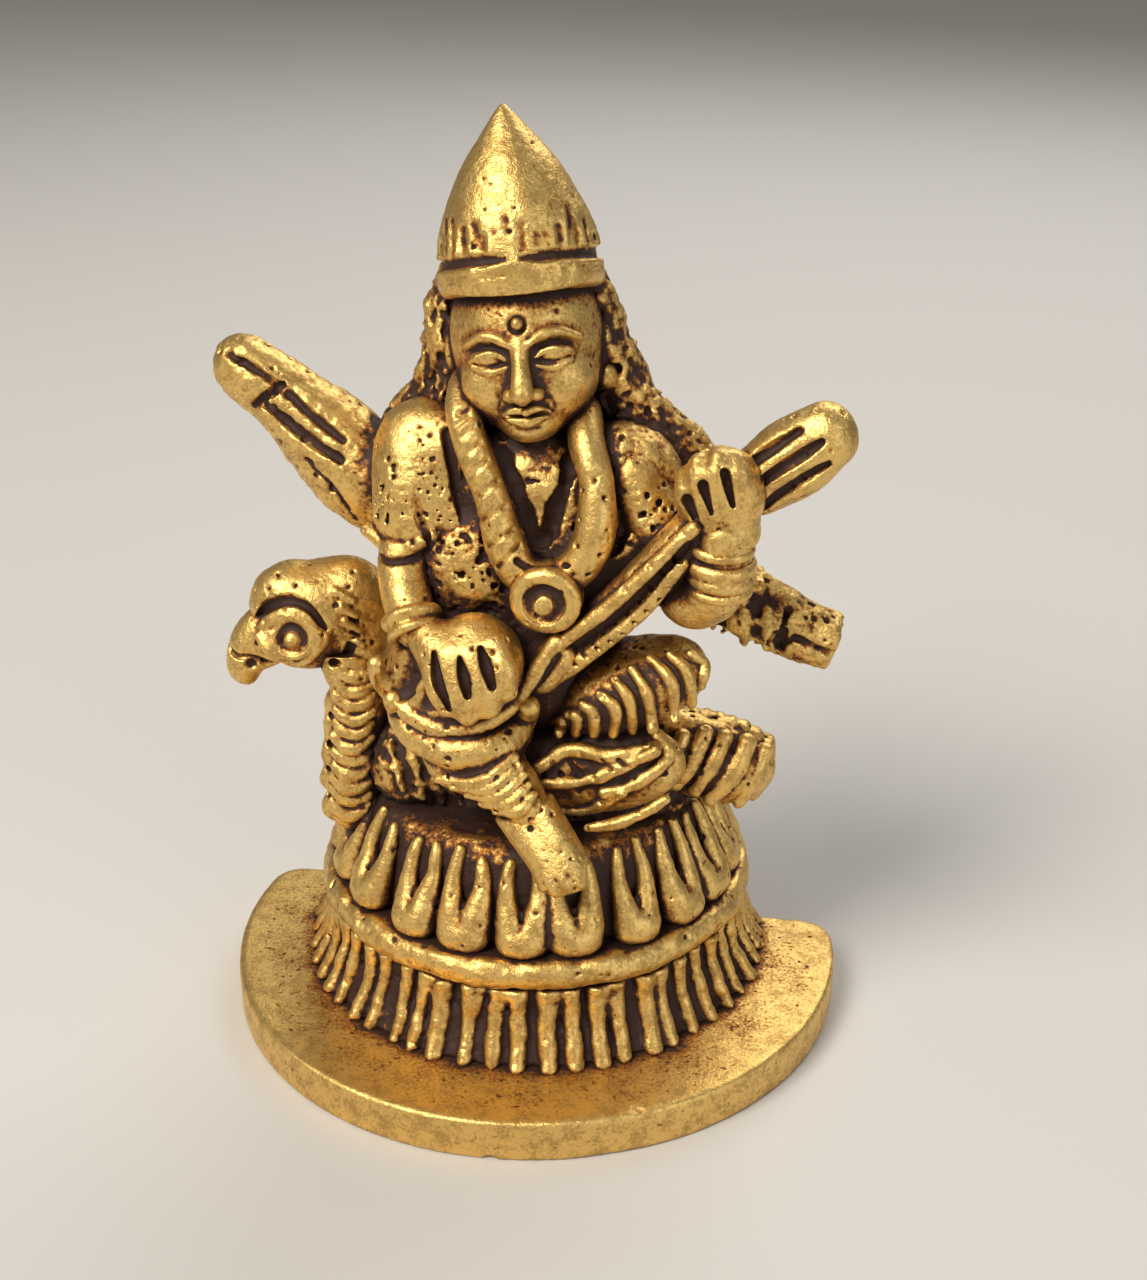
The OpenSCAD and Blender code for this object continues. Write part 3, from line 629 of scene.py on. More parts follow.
wing = Wax(perch, (-0.8, -8.4, 0.2), (12.2, -1.4, 9.6), 0.13, seed=65)
wing.lump((5.6, -3.9, 4.6), (6.2, 2.4, 3.3), (0, -12, 0), blend=0)
wing.lump((2.4, -4.4, 5.2), (2.6, 2.2, 2.0), blend=1.0)
upper = [(1.6, 5.3), (2.7, 6.2), (4.1, 7.2), (6.9, 7.0), (9.9, 7.8)]
lower = [(1.8, 4.4), (2.8, 4.7), (5.0, 5.0), (7.8, 6.4), (10.0, 7.8)]
wing.ridge([(a, -6.5, b, 0.5) for a, b in upper], 0.7, 20)
wing.ridge([(a, -6.8, b, 0.45) for a, b in lower], 0.62, 20)
wing.ridge([(10.0, -5.6, 8.2, 0.5), (10.7, -5.6, 7.2, 0.5), (10.2, -5.8, 6.2, 0.48),
            (8.4, -6.4, 4.9, 0.45), (6.6, -6.8, 4.3, 0.36)], 0.6, 18)
wing.ridge([(4.1, -7, 2.6, 0.34), (5.7, -7, 2.9, 0.4), (7.9, -6.8, 4.4, 0.36)], 0.55, 12)
wing.ridge([(5.6, -7, 1.7, 0.34), (7.4, -7, 2.2, 0.42), (9.1, -6.8, 3.0, 0.42),
            (10.7, -6.4, 4.1, 0.34)], 0.55, 14)
for k in range(5):
    root = (3.1 + 1.1 * k, -6.6, 6.2 + 0.15 * k, 0.2)
    tip = (3.8 + 1.1 * k, -6.8, 5.4 + 0.25 * k, 0.2)
    wing.scratch([root, tip], 0.25)
wing.weather(0.06, 1.3, 0.023, 0.35, pits=90)
hand_over(wing.cast("bird_wing"), "bird_wing", aged_brass)


# ----------------------------------------------------------------- bird_tail
# The tail is a short fan of fat quills, each a roll of wax that hangs from the rump and
# overlaps the next. Small knobs along the top are the quill roots.

tail = Wax(perch, (8.4, -4.4, -1.6), (18.4, 4.4, 8.8), 0.13, seed=66)
tail.lump((11.8, 0.4, 4.0), (4.4, 2.4, 3.0), (0, 18, 0), blend=0)
tail.lump((14.2, 0.9, 3.0), (3.0, 1.9, 2.7), (0, 24, 0), blend=1.0)
quills = (((11.2, -1.6, 6.4), (10.9, -2.4, 4.8), (9.9, -2.4, 3.1), 0.6),
          ((12.7, -1.2, 6.5), (11.9, -2.2, 4.8), (11.0, -2.2, 2.9), 0.66),
          ((14.0, -0.7, 6.1), (13.2, -1.7, 4.4), (12.2, -1.8, 2.4), 0.66),
          ((15.5, -0.3, 5.6), (14.7, -1.1, 3.7), (13.3, -1.4, 1.6), 0.78),
          ((16.7, 0.6, 4.6), (16.2, -0.1, 3.1), (15.2, -0.4, 1.0), 0.62),
          ((17.0, 1.9, 3.9), (16.9, 1.2, 2.4), (16.0, 0.9, 0.8), 0.5))
for a, b, c, r in quills:
    tail.roll([(*a, r * 0.85), (*b, r), (*c, r * 0.8)], 8, blend=0.16)
for k in range(7):
    tail.lump((11.6 + 0.86 * k, 1.4 + 0.1 * k, 6.3 - 0.05 * k * k), (0.65, 0.9, 0.7), blend=0.3)
for k in range(6):
    root = (10.8 + 1.1 * k, 3, 6.2 - 0.35 * k, 0.5)
    tip = (10.2 + 1.1 * k, 3, 2.4 - 0.3 * k, 0.5)
    tail.ridge([root, tip], 0.45, 6, way=BEHIND)
tail.weather(0.06, 1.2, 0.023, 0.35, pits=120)
hand_over(tail.cast("bird_tail"), "bird_tail", aged_brass)


# ---------------------------------------------------------------------- hips
# The hips are one round lump that the legs are pressed on to. Upright pleats are laid on
# behind, and the underside is cut flat.

hips = Wax(perch, (-6, -5.5, 5.8), (8, 5.8, 15.6), 0.17, seed=71)
hips.lump((1.2, 0, 10.4), (5.9, 5.2, 5.0), blend=0)
for k in range(9):
    turn = math.radians(30 + 15 * k)
    waist = (1.2 + 5 * math.cos(turn), 5, 13.5, 0.5)
    hem = (1.2 + 5.2 * math.cos(turn), 5, 8.6, 0.6)
    hips.ridge([waist, hem], 0.4, 6, way=BEHIND)
hips.weather(0.075, 1.5, 0.023, 0.4, pits=80)
hips.slice_off(6.4 - hips.lines[2][None, None, :] + 0 * hips.depth)
hand_over(hips.cast("hips"), "hips", aged_brass)


# --------------------------------------------------------------------- torso
# The torso is the solid core that the arms are pressed on to. The blouse is pricked with a
# point, and a deep V with a slit opens at the throat.

def prick(wax, count, low, high, size=0.3, way=FACING):
    """Prick the wax with a blunt point, at random places between two corners."""
    spots = wax.rng.uniform(low, high, (count, 3))
    for spot in wax.skin(spots, way):
        stretch = wax.rng.uniform(0.7, 1.3, 3) * size * [1, 1.1, 1]
        wax.carve(*wax.lump_depth(spot, stretch, reach=0.3), 0.05)


torso = Wax(perch, (-9.6, -5.8, 11), (11.2, 5.2, 29.4), 0.14, seed=72)
torso.roll([(1.1, 0.2, 12.5, 4.2), (0.8, 0, 16, 3.9), (0.5, -0.2, 20, 4.1), (0.2, -0.3, 24, 3.8)], 10,
           blend=0)
torso.lump((0.4, -0.6, 23.4), (6.0, 4.0, 4.6), blend=1.2)
torso.lump((-5.8, -0.2, 25.4), (3.0, 2.6, 2.6), blend=1.0)
torso.lump((6.6, -0.6, 24.6), (3.9, 2.8, 3.6), (0, 22, 0), blend=1.0)
torso.roll([(0.5, -0.2, 25, 2.6), (0.8, -0.3, 28.8, 2.2)], blend=0.6)
torso.lump((-3.0, -3.0, 18.2), (4.2, 2.8, 4.6), (0, 12, 0), blend=0.8)
torso.lump((5.4, -2.6, 19.4), (4.4, 2.4, 4.6), (0, 30, 0), blend=0.8)
torso.lump((1.5, -2.0, 14.6), (5.4, 3.0, 3.6), blend=0.8)
throat = [(-0.8, 27.2), (0.5, 24.0), (1.8, 21.0), (3.0, 24.0), (3.9, 27.2)]
torso.scratch([(a, -4.5, b, 0.6) for a, b in throat], 0.7, 18)
torso.scratch([(1.0, -4.5, 25.2, 0.24), (2.3, -4.5, 25.2, 0.24)], 0.35)
torso.scratch([(8.7, -3, 25.8, 0.5), (7.6, -3.4, 23.4, 0.6), (6.5, -4, 20.8, 0.5)], 0.8, 12)
prick(torso, 300, (3.6, -3, 17), (10.6, -3, 28.4), 0.15)
prick(torso, 160, (-6, -5, 15), (1, -5, 22), 0.2)
torso.weather(0.09, 1.2, 0.045, 0.32, pits=120, pit_size=0.2)
blouse_brass = brass_finish("blouse_brass", soak=0.41, speckle=0.6, grain=0.8)
hand_over(torso.cast("torso"), "torso", blouse_brass)


# ------------------------------------------------------------------ left_leg
# The folded left thigh runs out to the knee under a skirt. Its pleats are thin rolls laid
# side by side, which slant down from the lap to the hem.

left_leg = Wax(perch, (1.6, -8.2, 6.0), (14.2, 2.4, 16.2), 0.13, seed=73)
left_leg.lump((7.0, -2.6, 10.3), (5.4, 3.6, 3.0), (0, -26, 0), blend=0)
left_leg.lump((10.2, -3.2, 11.8), (2.8, 2.9, 2.3), (0, -26, 0), blend=1.0)
tops = [(2.9, 8.9), (3.8, 9.6), (4.8, 10.4), (5.9, 11.3), (6.9, 12.4), (8.0, 13.3), (9.2, 14.2),
        (10.5, 14.6), (11.9, 14.7)]
hems = [(3.4, 8.2), (4.6, 8.3), (5.8, 8.4), (7.1, 8.5), (8.4, 8.8), (9.7, 9.2), (11.1, 10.0),
        (12.3, 11.3), (12.9, 12.6)]
for (a, b), (c, d) in zip(tops, hems):
    bow = left_leg.rng.uniform(-0.1, 0.25)
    left_leg.ridge([(a, -5, b - 0.5, 0.32), ((a + c) / 2 + 0.35 + bow, -5.6, (b + d) / 2 + 0.25, 0.42),
                    (c, -6.2, d, 0.33)], 0.6, 14, blend=0.08)
left_leg.weather(0.053, 1.2, 0.018, 0.3, pits=110)
hand_over(left_leg.cast("left_leg"), "left_leg", aged_brass)


# ----------------------------------------------------------------- right_leg
# The right leg hangs down in front. Its knee shows as a smooth crescent under the bowl of
# the instrument, and rings of pleated cloth wrap the shin down to the ankle.

right_leg = Wax(perch, (-8.6, -11.6, 2.2), (4.4, 0.6, 11.6), 0.13, seed=74)
right_leg.lump((-3.1, -5.4, 7.9), (4.7, 3.5, 2.7), (0, 3, 0), blend=0)
right_leg.roll([(-3.0, -6.2, 7.4, 2.6), (-1.0, -7.6, 6.4, 2.2), (0.8, -8.8, 5.2, 1.75),
                (1.9, -9.6, 4.3, 1.5)], 12, blend=0.8)
right_leg.roll([(-2.8, -7.2, 6.6, 2.6), (-0.6, -8.2, 5.8, 2.1), (0.9, -8.8, 5.0, 1.7)], 8, blend=0.5)
knee = [(-7.3, 10.6, 0.7), (-6.8, 9.3, 1.0), (-5.4, 8.0, 1.2), (-2.9, 7.3, 1.3), (-0.2, 8.1, 1.2),
        (1.2, 9.7, 1.0), (1.8, 11, 0.7)]
right_leg.ridge([(a, -8, b, r) for a, b, r in knee], 1.0, 30, blend=0.3)
for k in range(5):
    t = k / 4
    a = np.array([-4.1 + 3.9 * t, -9.2, 5.6 - 1.9 * t])
    c = np.array([0.9 + 1.3 * t, -8.4, 7.4 - 2.5 * t])
    sag = a + 0.55 * (c - a) + [0.2, -0.3, -0.75 + 0.3 * t]
    right_leg.ridge([(*a, 0.24), (*sag, 0.42), (*c, 0.3)], 0.42, 14, blend=0.08)
right_leg.weather(0.053, 1.4, 0.018, 0.3, pits=120)
hand_over(right_leg.cast("right_leg"), "right_leg", aged_brass)


# ---------------------------------------------------------------- right_foot
# The foot is a plain block that rests against the petals, with its top kept smooth. Three
# nicks in its lower end part the toes.

foot = Wax(perch, (-0.6, -13.2, -2.2), (7.6, -7.4, 6.8), 0.11, seed=75)
sole = np.array([(0.3, 3.8), (1.9, 5.3), (3.7, 5.7), (6.0, 1.8), (5.9, -0.2), (4.2, -1.0), (3.2, -0.7),
                 (2.6, 0.7)])
_, x, y, z = foot.everywhere()
across, up = x + 0.172 * (y + 11), z + 0.475 * (y + 11)
near, wound = 99.0, 1.0
for a, b in zip(sole, np.roll(sole, -1, 0)):
    way = b - a
    t = np.clip(((across - a[0]) * way[0] + (up - a[1]) * way[1]) / (way @ way), 0, 1)
    near = np.minimum(near, np.hypot(across - a[0] - t * way[0], up - a[1] - t * way[1]))
    over = (a[1] > up) != (b[1] > up)
    left = across < a[0] + way[0] * (up - a[1]) / (way[1] if way[1] else 1e-9)
    wound = wound * np.where(over & left, -1.0, 1.0)
side = near * wound - 0.25
instep = -0.08 * x - 0.86 * (y + 11.3) + 0.5 * (z - 2.4) - 0.5 + 0.05 * (across - 3.4) ** 2
back = 0.86 * (y + 11.3) - 0.5 * (z - 2.4) - 3.2
foot.depth = -melt(-side, -(instep + 0 * side), 1.5)
foot.depth = -melt(-foot.depth, -(back + 0 * side), 0.5).astype(np.float32)
for a, b in (((3.3, 0.2), (3.7, -0.9)), ((4.2, 0.5), (4.7, -0.7)), ((5.0, 0.9), (5.6, -0.3))):
    foot.scratch([(a[0], -11.5, a[1], 0.12), (b[0], -11.5, b[1], 0.26)], 0.2, 6)
foot.weather(0.045, 1.8, 0.009, 0.3, pits=60)
hand_over(foot.cast("right_foot"), "right_foot", aged_brass)


# ---------------------------------------------------------------------- head
# The head is modelled apart and set on the neck, leaning a little to its right. The face is
# calm, with lowered lids, full lips and a bead on the brow.

band_low, band_high = corners("crown_band")


def lean(x, y, z):
    """The turn that tilts by x, then y, then z degrees."""
    turn = np.eye(3)
    for axis, angle in enumerate((x, y, z)):
        c, s = math.cos(math.radians(angle)), math.sin(math.radians(angle))
        i, j = [(1, 2), (2, 0), (0, 1)][axis]
        step = np.eye(3)
        step[i, i] = step[j, j] = c
        step[i, j], step[j, i] = -s, s
        turn = step @ turn
    return turn


chin = perch + [0.9, -0.6, 27.3]
set_of_head = lean(-4, -6.5, 6)
AHEAD = (0, 1, 0)

face_size = 1.08
head = Wax(chin, (-5.2, -5.9, -0.9), (5.2, 5.0, 9.8), 0.1, seed=81, tilt=set_of_head * face_size)
head.lump((0, 0.3, 5.9), (4.55, 4.6, 5.2), blend=0)
head.lump((0, -0.9, 3.0), (3.7, 3.4, 2.9), blend=1.4)
head.lump((0, -2.7, 1.1), (1.5, 1.3, 1.1), blend=0.9)
for side in (-1, 1):
    head.lump((side * 2.2, -2.7, 3.5), (1.5, 1.2, 1.4), blend=0.8)
    head.dent((side * 1.85, -4.75, 5.3), (1.25, 0.85, 0.8), blend=0.5)
    head.lump((side * 1.85, -3.25, 5.2), (1.15, 0.95, 0.8), blend=0.1)
    brow = [(side * 0.6, -5, 6.05, 0.2), (side * 1.3, -5, 6.45, 0.3), (side * 2.3, -5, 6.5, 0.3),
            (side * 3.4, -4, 5.9, 0.18)]
    head.ridge(brow, 0.3, 14, way=AHEAD)
    lid = [(side * 0.8, -5, 5.1, 0.13), (side * 1.3, -5, 5.5, 0.17), (side * 1.9, -5, 5.62, 0.18),
           (side * 2.5, -5, 5.45, 0.17), (side * 3.0, -5, 5.1, 0.12)]
    head.ridge(lid, 0.16, 14, way=AHEAD, blend=0.08)
    head.scratch([(side * 0.85, -5, 5.0, 0.12), (side * 1.4, -5, 4.92, 0.14), (side * 1.9, -5, 4.88, 0.15),
                  (side * 2.4, -5, 4.95, 0.14), (side * 2.95, -5, 5.05, 0.12)], 0.16, 14, way=AHEAD,
                  blend=0.05)
    head.ridge([(side * 0.9, -5, 4.75, 0.12), (side * 1.9, -5, 4.5, 0.16), (side * 2.9, -5, 4.85, 0.12)],
               0.13, 12, way=AHEAD, blend=0.08)
    head.scratch([(side * 1.0, -5, 5.75, 0.12), (side * 1.9, -5, 5.95, 0.13),
                  (side * 2.9, -4.5, 5.6, 0.12)], 0.15, 12, way=AHEAD, blend=0.08)
    head.lump((side * 4.4, 0.6, 4.9), (0.55, 1.0, 1.5), (8, 0, side * 20), blend=0.2)
    head.lump((side * 4.5, 0.0, 2.9), (0.6, 0.7, 0.8), blend=0.15)
nose = [(0, -4.15, 6.0, 0.45), (0, -4.5, 5.0, 0.5), (0, -4.95, 4.0, 0.62), (0, -5.1, 3.35, 0.7)]
head.roll(nose, 14, blend=0.35)
for side in (-1, 1):
    head.lump((side * 0.75, -4.6, 3.2), (0.5, 0.6, 0.42), blend=0.2)
    head.dent((side * 0.42, -5.1, 2.78), (0.2, 0.3, 0.16))
    head.scratch([(side * 1.25, -5, 3.3, 0.12), (side * 1.6, -5, 2.6, 0.12),
                  (side * 1.7, -5, 2.1, 0.1)], 0.1, 8, way=AHEAD)
    head.ridge([(side * 1.35, -5, 2.0, 0.14), (side * 0.55, -5, 2.28, 0.27), (0, -5, 2.2, 0.24)], 0.34,
               10, way=AHEAD)
head.ridge([(-1.1, -5, 1.78, 0.16), (0, -5, 1.52, 0.36), (1.1, -5, 1.78, 0.16)], 0.42, 14, way=AHEAD)
head.scratch([(-1.35, -6, 1.97, 0.13), (-0.5, -6, 1.96, 0.14), (0, -6, 1.9, 0.14),
              (0.5, -6, 1.96, 0.14), (1.35, -6, 1.97, 0.13)], 0.2, 14, way=AHEAD, blend=0.04)
head.scratch([(-0.7, -5, 1.02, 0.2), (0, -5, 0.95, 0.22), (0.7, -5, 1.02, 0.2)], 0.14, 8, way=AHEAD)
dot = head.skin([(0, -5, 7.2)], AHEAD)[0]
head.dent(dot, (0.62, 0.3, 0.62))
head.lump(dot, (0.34, 0.3, 0.34), blend=0.03)
head.weather(0.026, 1.6, 0.006, 0.25, pits=40, pit_size=0.12)
hand_over(head.cast("head"), "head", aged_brass)


# ---------------------------------------------------------------- crown_band
# A rolled band runs round the brow under the crown. A deep line parts it from the crown and
# stops short over the nose, and fainter lines are scratched along its middle.

def around(radius, height, angle):
    """A point on a ring round the head; angle 0 is over the nose."""
    turn = math.radians(angle)
    return radius * math.sin(turn), -radius * math.cos(turn) + 0.2, height


band = Wax(chin, (-6.2, -6.2, 7.8), (6.2, 6.4, 12.4), 0.12, seed=82, tilt=set_of_head)
crown_radius = (band_high[0] - band_low[0]) / 2


def brim(angle):
    """Height of the band's middle; it rides up over the brow."""
    return 10.1 + 0.85 * math.cos(math.radians(angle))


band.roll([(*around(crown_radius - 1.0, brim(a) - 0.3, a), 1.0) for a in range(0, 361, 12)], blend=0)
band.roll([(*around(crown_radius - 1.0, brim(a) + 0.3, a), 1.0) for a in range(0, 361, 12)], blend=0.3)
cut, x, y, z = band.everywhere()
middle_z = 10.1 - 0.85 * (y - 0.2) / np.maximum(np.hypot(x, y - 0.2), 1)
band.join(cut, np.maximum(np.hypot(x, y - 0.2) - (crown_radius - 1.2), np.abs(z - middle_z) - 1.0), 0.1)
band.slice_off(np.hypot(x, y - 0.2) - crown_radius + 0.1 + 0 * z, 0.25)
upper_line = [[(*around(crown_radius - 0.28, brim(a) + 0.85, a), 0.12 + 0.28 * min(1, abs(a - 2) / 20))
               for a in side]
              for side in (range(-104, -3, 5), range(9, 110, 5))]
for line in upper_line:
    band.carve(*band.rope(line, 0.15), 0.15)
band.scratch([(*around(crown_radius, brim(a) - 0.12, a), 0.12 + 0.1 * (a < -20))
              for a in range(-70, -3, 6)], 0.14, way=AHEAD)
band.scratch([(*around(crown_radius, brim(a) - 0.05, a), 0.16) for a in range(26, 81, 6)], 0.16, way=AHEAD)
band.weather(0.045, 1.6, 0.013, 0.3, pits=60)
hand_over(band.cast("crown_band"), "crown_band", aged_brass)


# --------------------------------------------------------------------- crown
# The crown is a smooth pointed cone like a bud, its foot cut into faint upright flutes. Two
# dents lie near the tip.

crown = Wax(chin, (-5.8, -5.8, 9.4), (5.8, 6.2, 21.6), 0.13, seed=83, tilt=set_of_head)
_, x, y, z = crown.everywhere()
rise = np.clip((z - 10.0) / 10.5, 0, 1.1)
shape = (crown_radius - 0.15) * (1 - rise ** 1.95)
shape = shape + 0.1 * np.exp(-((rise - 0.16) / 0.12) ** 2) * np.sin(23 * np.arctan2(x, -y) + 0.5)
crown.depth = (0.86 * (np.hypot(x, y - 0.2) - shape)).astype(np.float32)
crown.depth = -melt(-crown.depth, z - 9.6 + 0 * x * y, 0.1)
for k in range(-9, 10):
    height = 12.9 + crown.rng.uniform(0, 1.6)
    angle = 9 * k + crown.rng.uniform(-3.5, 3.5)
    crown.scratch([(*around(crown_radius, 11.9, angle), 0.35),
                   (*around(crown_radius, height, angle * 0.95), 0.25)],
                  0.02 + 0.1 * crown.rng.uniform() * min(1, abs(k) / 4), 5, way=AHEAD, blend=0.3)
crown.dent((1.7, -2.4, 18.0), (0.5, 0.6, 0.4))
crown.dent((0.3, -2.3, 18.9), (0.45, 0.5, 0.16), (0, 12, 0))
for line in upper_line:
    crown.carve(*crown.rope(line, 0.15), 0.15)
crown.weather(0.05, 2.0, 0.016, 0.3, pits=50, pit_size=0.14)
hand_over(crown.cast("crown"), "crown", aged_brass)


# ----------------------------------------------------------------- hair_back
# Loose hair spreads from under the crown down over the shoulders. Locks of wax are laid on
# top of each other, combed at the back, and the whole mass is stippled and kept dark.

hair = Wax(perch, (-12.4, -2.6, 17.8), (13.2, 6.4, 39.6), 0.16, seed=84)
hair.lump((-0.6, 2.4, 33.6), (5.6, 3.4, 5.6), (0, -6, 0), blend=0)
hair.lump((0.4, 3.2, 26.4), (8.4, 2.4, 6.4), blend=1.5)
locks = (((-4.6, 0.9, 37.0, 1.1), (-5.5, 1.4, 34.0, 1.5), (-5.7, 1.8, 30.8, 1.6),
          (-6.8, 2.2, 28.2, 1.8), (-8.6, 2.4, 26.4, 1.7)),
         ((3.2, 1.2, 37.9, 1.2), (4.3, 1.6, 34.8, 1.6), (5.0, 1.9, 32.0, 1.9), (6.2, 2.1, 29.2, 2.0),
          (7.4, 2.2, 27.0, 1.9)),
         ((4.0, 0.6, 35.0, 0.8), (5.2, 1.0, 32.0, 1.1), (6.6, 1.4, 29.4, 1.3), (8.6, 1.6, 26.6, 1.4),
          (10.4, 1.6, 24.2, 1.3)),
         ((-5.0, 0.2, 34.6, 0.7), (-5.4, 0.2, 32.4, 0.8), (-5.2, 0.0, 30.2, 0.8),
          (-6.0, -0.2, 28.2, 0.9), (-7.6, 0, 27.2, 0.9)),
         ((6.6, 1.8, 28.6, 1.5), (9.2, 2.0, 26.8, 1.6), (11.4, 2.2, 25.0, 1.3), (12.2, 2.2, 23.8, 0.9)))
for lock in locks:
    hair.roll(lock, 18, blend=0.35)
for k in range(9):
    a = -5.5 + 1.4 * k
    drift = hair.rng.uniform(-0.5, 0.5)
    hair.scratch([(0.75 * a - 0.6, 6, 38.0, 0.34), (a + 0.5 * drift, 6, 32, 0.4),
                  (1.25 * a - drift, 6, 26, 0.45), (1.35 * a, 6, 20.6, 0.4)], 0.5, 22, way=BEHIND)
for side, lock in ((-1, locks[0]), (1, locks[1]), (1, locks[2])):
    for off in (-0.5, 0.45):
        hair.scratch([(x + off, -3, z - 0.3, 0.24) for x, y, z, r in lock], 0.3, 18)
prick(hair, 240, (-9, -2, 26), (11.5, -2, 38), 0.3)
prick(hair, 160, (-9, 7, 19), (11, 7, 38), 0.3, way=BEHIND)
hair.weather(0.12, 1.1, 0.1, 0.36, pits=160, pit_size=0.2)
hand_over(hair.cast("hair_back"), "hair_back", dark_brass)


# ------------------------------------------------------------------- garland
# A thick garland hangs from the neck in a U. It is one rolled strand, a little thicker at its
# foot, and nicked slantwise with a blade like a twisted cord.

strand = [(-3.4, -0.8, 30.6), (-3.5, -2.8, 29.8), (-3.0, -4.4, 28.6), (-2.2, -5.0, 26.6),
          (-1.1, -5.4, 24.2), (-0.3, -5.5, 21.2), (0.8, -5.7, 19.4), (2.6, -5.8, 18.9),
          (4.5, -5.6, 20.0), (5.5, -5.3, 22.2), (5.5, -4.7, 25.2), (4.6, -3.4, 27.4),
          (4.0, -1.2, 28.8)]
garland = Wax(perch, (-5.2, -7.6, 17.0), (7.4, -0.4, 33.2), 0.12, seed=91)
garland.roll([(*p, 1.1 + 0.2 * (5 <= i <= 9)) for i, p in enumerate(strand)], 44, blend=0)
garland.roll([(x, y + 1.2, z, 0.9) for x, y, z in strand], 30, blend=0.6)
track = bend(strand, 90)
for k in range(8, 44, 4):
    at, way = track[k], track[k + 1] - track[k]
    slant = np.array([way[2], 0, -way[0]]) / np.hypot(way[0], way[2])
    a = at + 1.1 * slant + 0.35 * way / np.linalg.norm(way)
    b = at - 1.1 * slant - 0.35 * way / np.linalg.norm(way)
    garland.scratch([(a[0], -6, a[2] + 0.15, 0.22), (at[0], -6.6, at[2] + 0.25, 0.24),
                     (b[0], -6, b[2] + 0.15, 0.22)], 0.17, 8)
garland.scratch([(0.8, -7, 20.7, 0.24), (1.9, -7, 20.2, 0.3), (3.0, -7, 20.4, 0.24)], 0.35, 10)
for k in range(54, 84, 5):
    at = track[k]
    garland.scratch([(at[0] - 0.9, -6, at[2] + 0.35, 0.15), (at[0] + 0.9, -6, at[2] - 0.25, 0.15)], 0.16)
garland.weather(0.045, 1.3, 0.009, 0.3, pits=70)
hand_over(garland.cast("garland"), "garland", aged_brass)


# ------------------------------------------------------------------- pendant
# A round pendant hangs at the foot of the garland. It was stamped with the end of a tube,
# which left a ring with a low button standing in it.

pendant = Wax(perch, (-0.2, -9.6, 15.4), (5.6, -4.4, 21.0), 0.1, seed=92)
button = np.array([2.7, -7.0, 18.2])
pendant.lump(button + [0, 0.7, 0], (2.35, 1.6, 2.3), (-22, 0, 4), blend=0)
disc = [(button[0] + 1.72 * math.cos(a), button[1] - 0.15, button[2] + 1.68 * math.sin(a), 0.62)
        for a in np.linspace(0, 2 * math.pi, 21)]
pendant.roll(disc, blend=0.25)
cut_ring(pendant, button - [0, 1, 0], 1.02, 0.4, 0.45, 0.5)
pendant.weather(0.03, 1.2, 0.009, 0.3, pits=20)
hand_over(pendant.cast("pendant"), "pendant", aged_brass)


# ----------------------------------------------------------- right_front_arm
# The right arm comes down in a short wide sleeve, pricked like the blouse, with a rolled hem.
# The bare forearm bends forward to the instrument.

right_arm = Wax(perch, (-11.2, -9.4, 13.6), (-1.8, 2.4, 29.4), 0.13, seed=93)
right_arm.roll([(-6.5, -1.0, 26.4, 2.7), (-6.7, -1.9, 24.0, 3.1), (-6.8, -2.6, 21.8, 2.9)], 10, blend=0)
right_arm.lump((-7.8, -1.2, 25.2), (2.0, 2.4, 2.9), blend=0.8)
right_arm.lump((-4.4, -3.0, 22.0), (2.1, 1.8, 3.6), (0, -14, 0), blend=0.6)
right_arm.lump((-4.6, -1.6, 26.4), (2.0, 2.4, 2.4), blend=0.8)
right_arm.ridge([(-9.9, -3.6, 20.7, 0.5), (-8.2, -4.6, 20.1, 0.5), (-6.5, -5, 20.4, 0.5),
                 (-5.2, -5, 21.2, 0.4)], 0.4, 14)
_, x, y, z = right_arm.everywhere()
right_arm.slice_off(19.3 - z - 0.12 * x - 0.9 + 0 * right_arm.depth)
right_arm.roll([(-7.2, -3.0, 20.8, 1.75), (-7.3, -4.2, 19.2, 1.7), (-6.9, -5.6, 17.4, 1.65),
                (-5.9, -7.0, 15.6, 1.55)], 12, blend=0.15)
right_arm.scratch([(-9.6, -4, 19.7, 0.26), (-8.2, -5.2, 19.2, 0.28), (-6.4, -5.4, 19.6, 0.26),
                   (-5.0, -5, 20.6, 0.24)], 0.35, 12)
right_arm.scratch([(-4.2, -4.6, 28.2, 0.4), (-3.7, -4.6, 25.0, 0.45), (-2.9, -4.6, 21.6, 0.4)], 0.5, 12)
right_arm.scratch([(-6.2, -5, 23.4, 0.3), (-5.8, -5, 21.8, 0.34), (-5.2, -5, 20.4, 0.3)], 0.35, 10)
prick(right_arm, 380, (-9.8, -4, 21.0), (-3.4, -4, 28.2), 0.13)
right_arm.weather(0.053, 1.5, 0.013, 0.3, pits=80)
hand_over(right_arm.cast("right_front_arm"), "right_front_arm", aged_brass)


# -------------------------------------------------------------- right_bangle
# A bangle of two thin rolls rings the right wrist. They are wound round the arm side by side,
# over a third roll that fills the gap under them.

def ring_round(at, way, radius, thick):
    """Path of a ring round a limb that runs along way."""
    way = np.array(way, float) / np.linalg.norm(way)
    side = np.cross(way, (0, 0, 1))
    side /= np.linalg.norm(side)
    front = np.cross(side, way)
    return [(*(np.array(at) + radius * (side * math.cos(a) + front * math.sin(a))), thick)
            for a in np.linspace(0, 2 * math.pi, 25)]


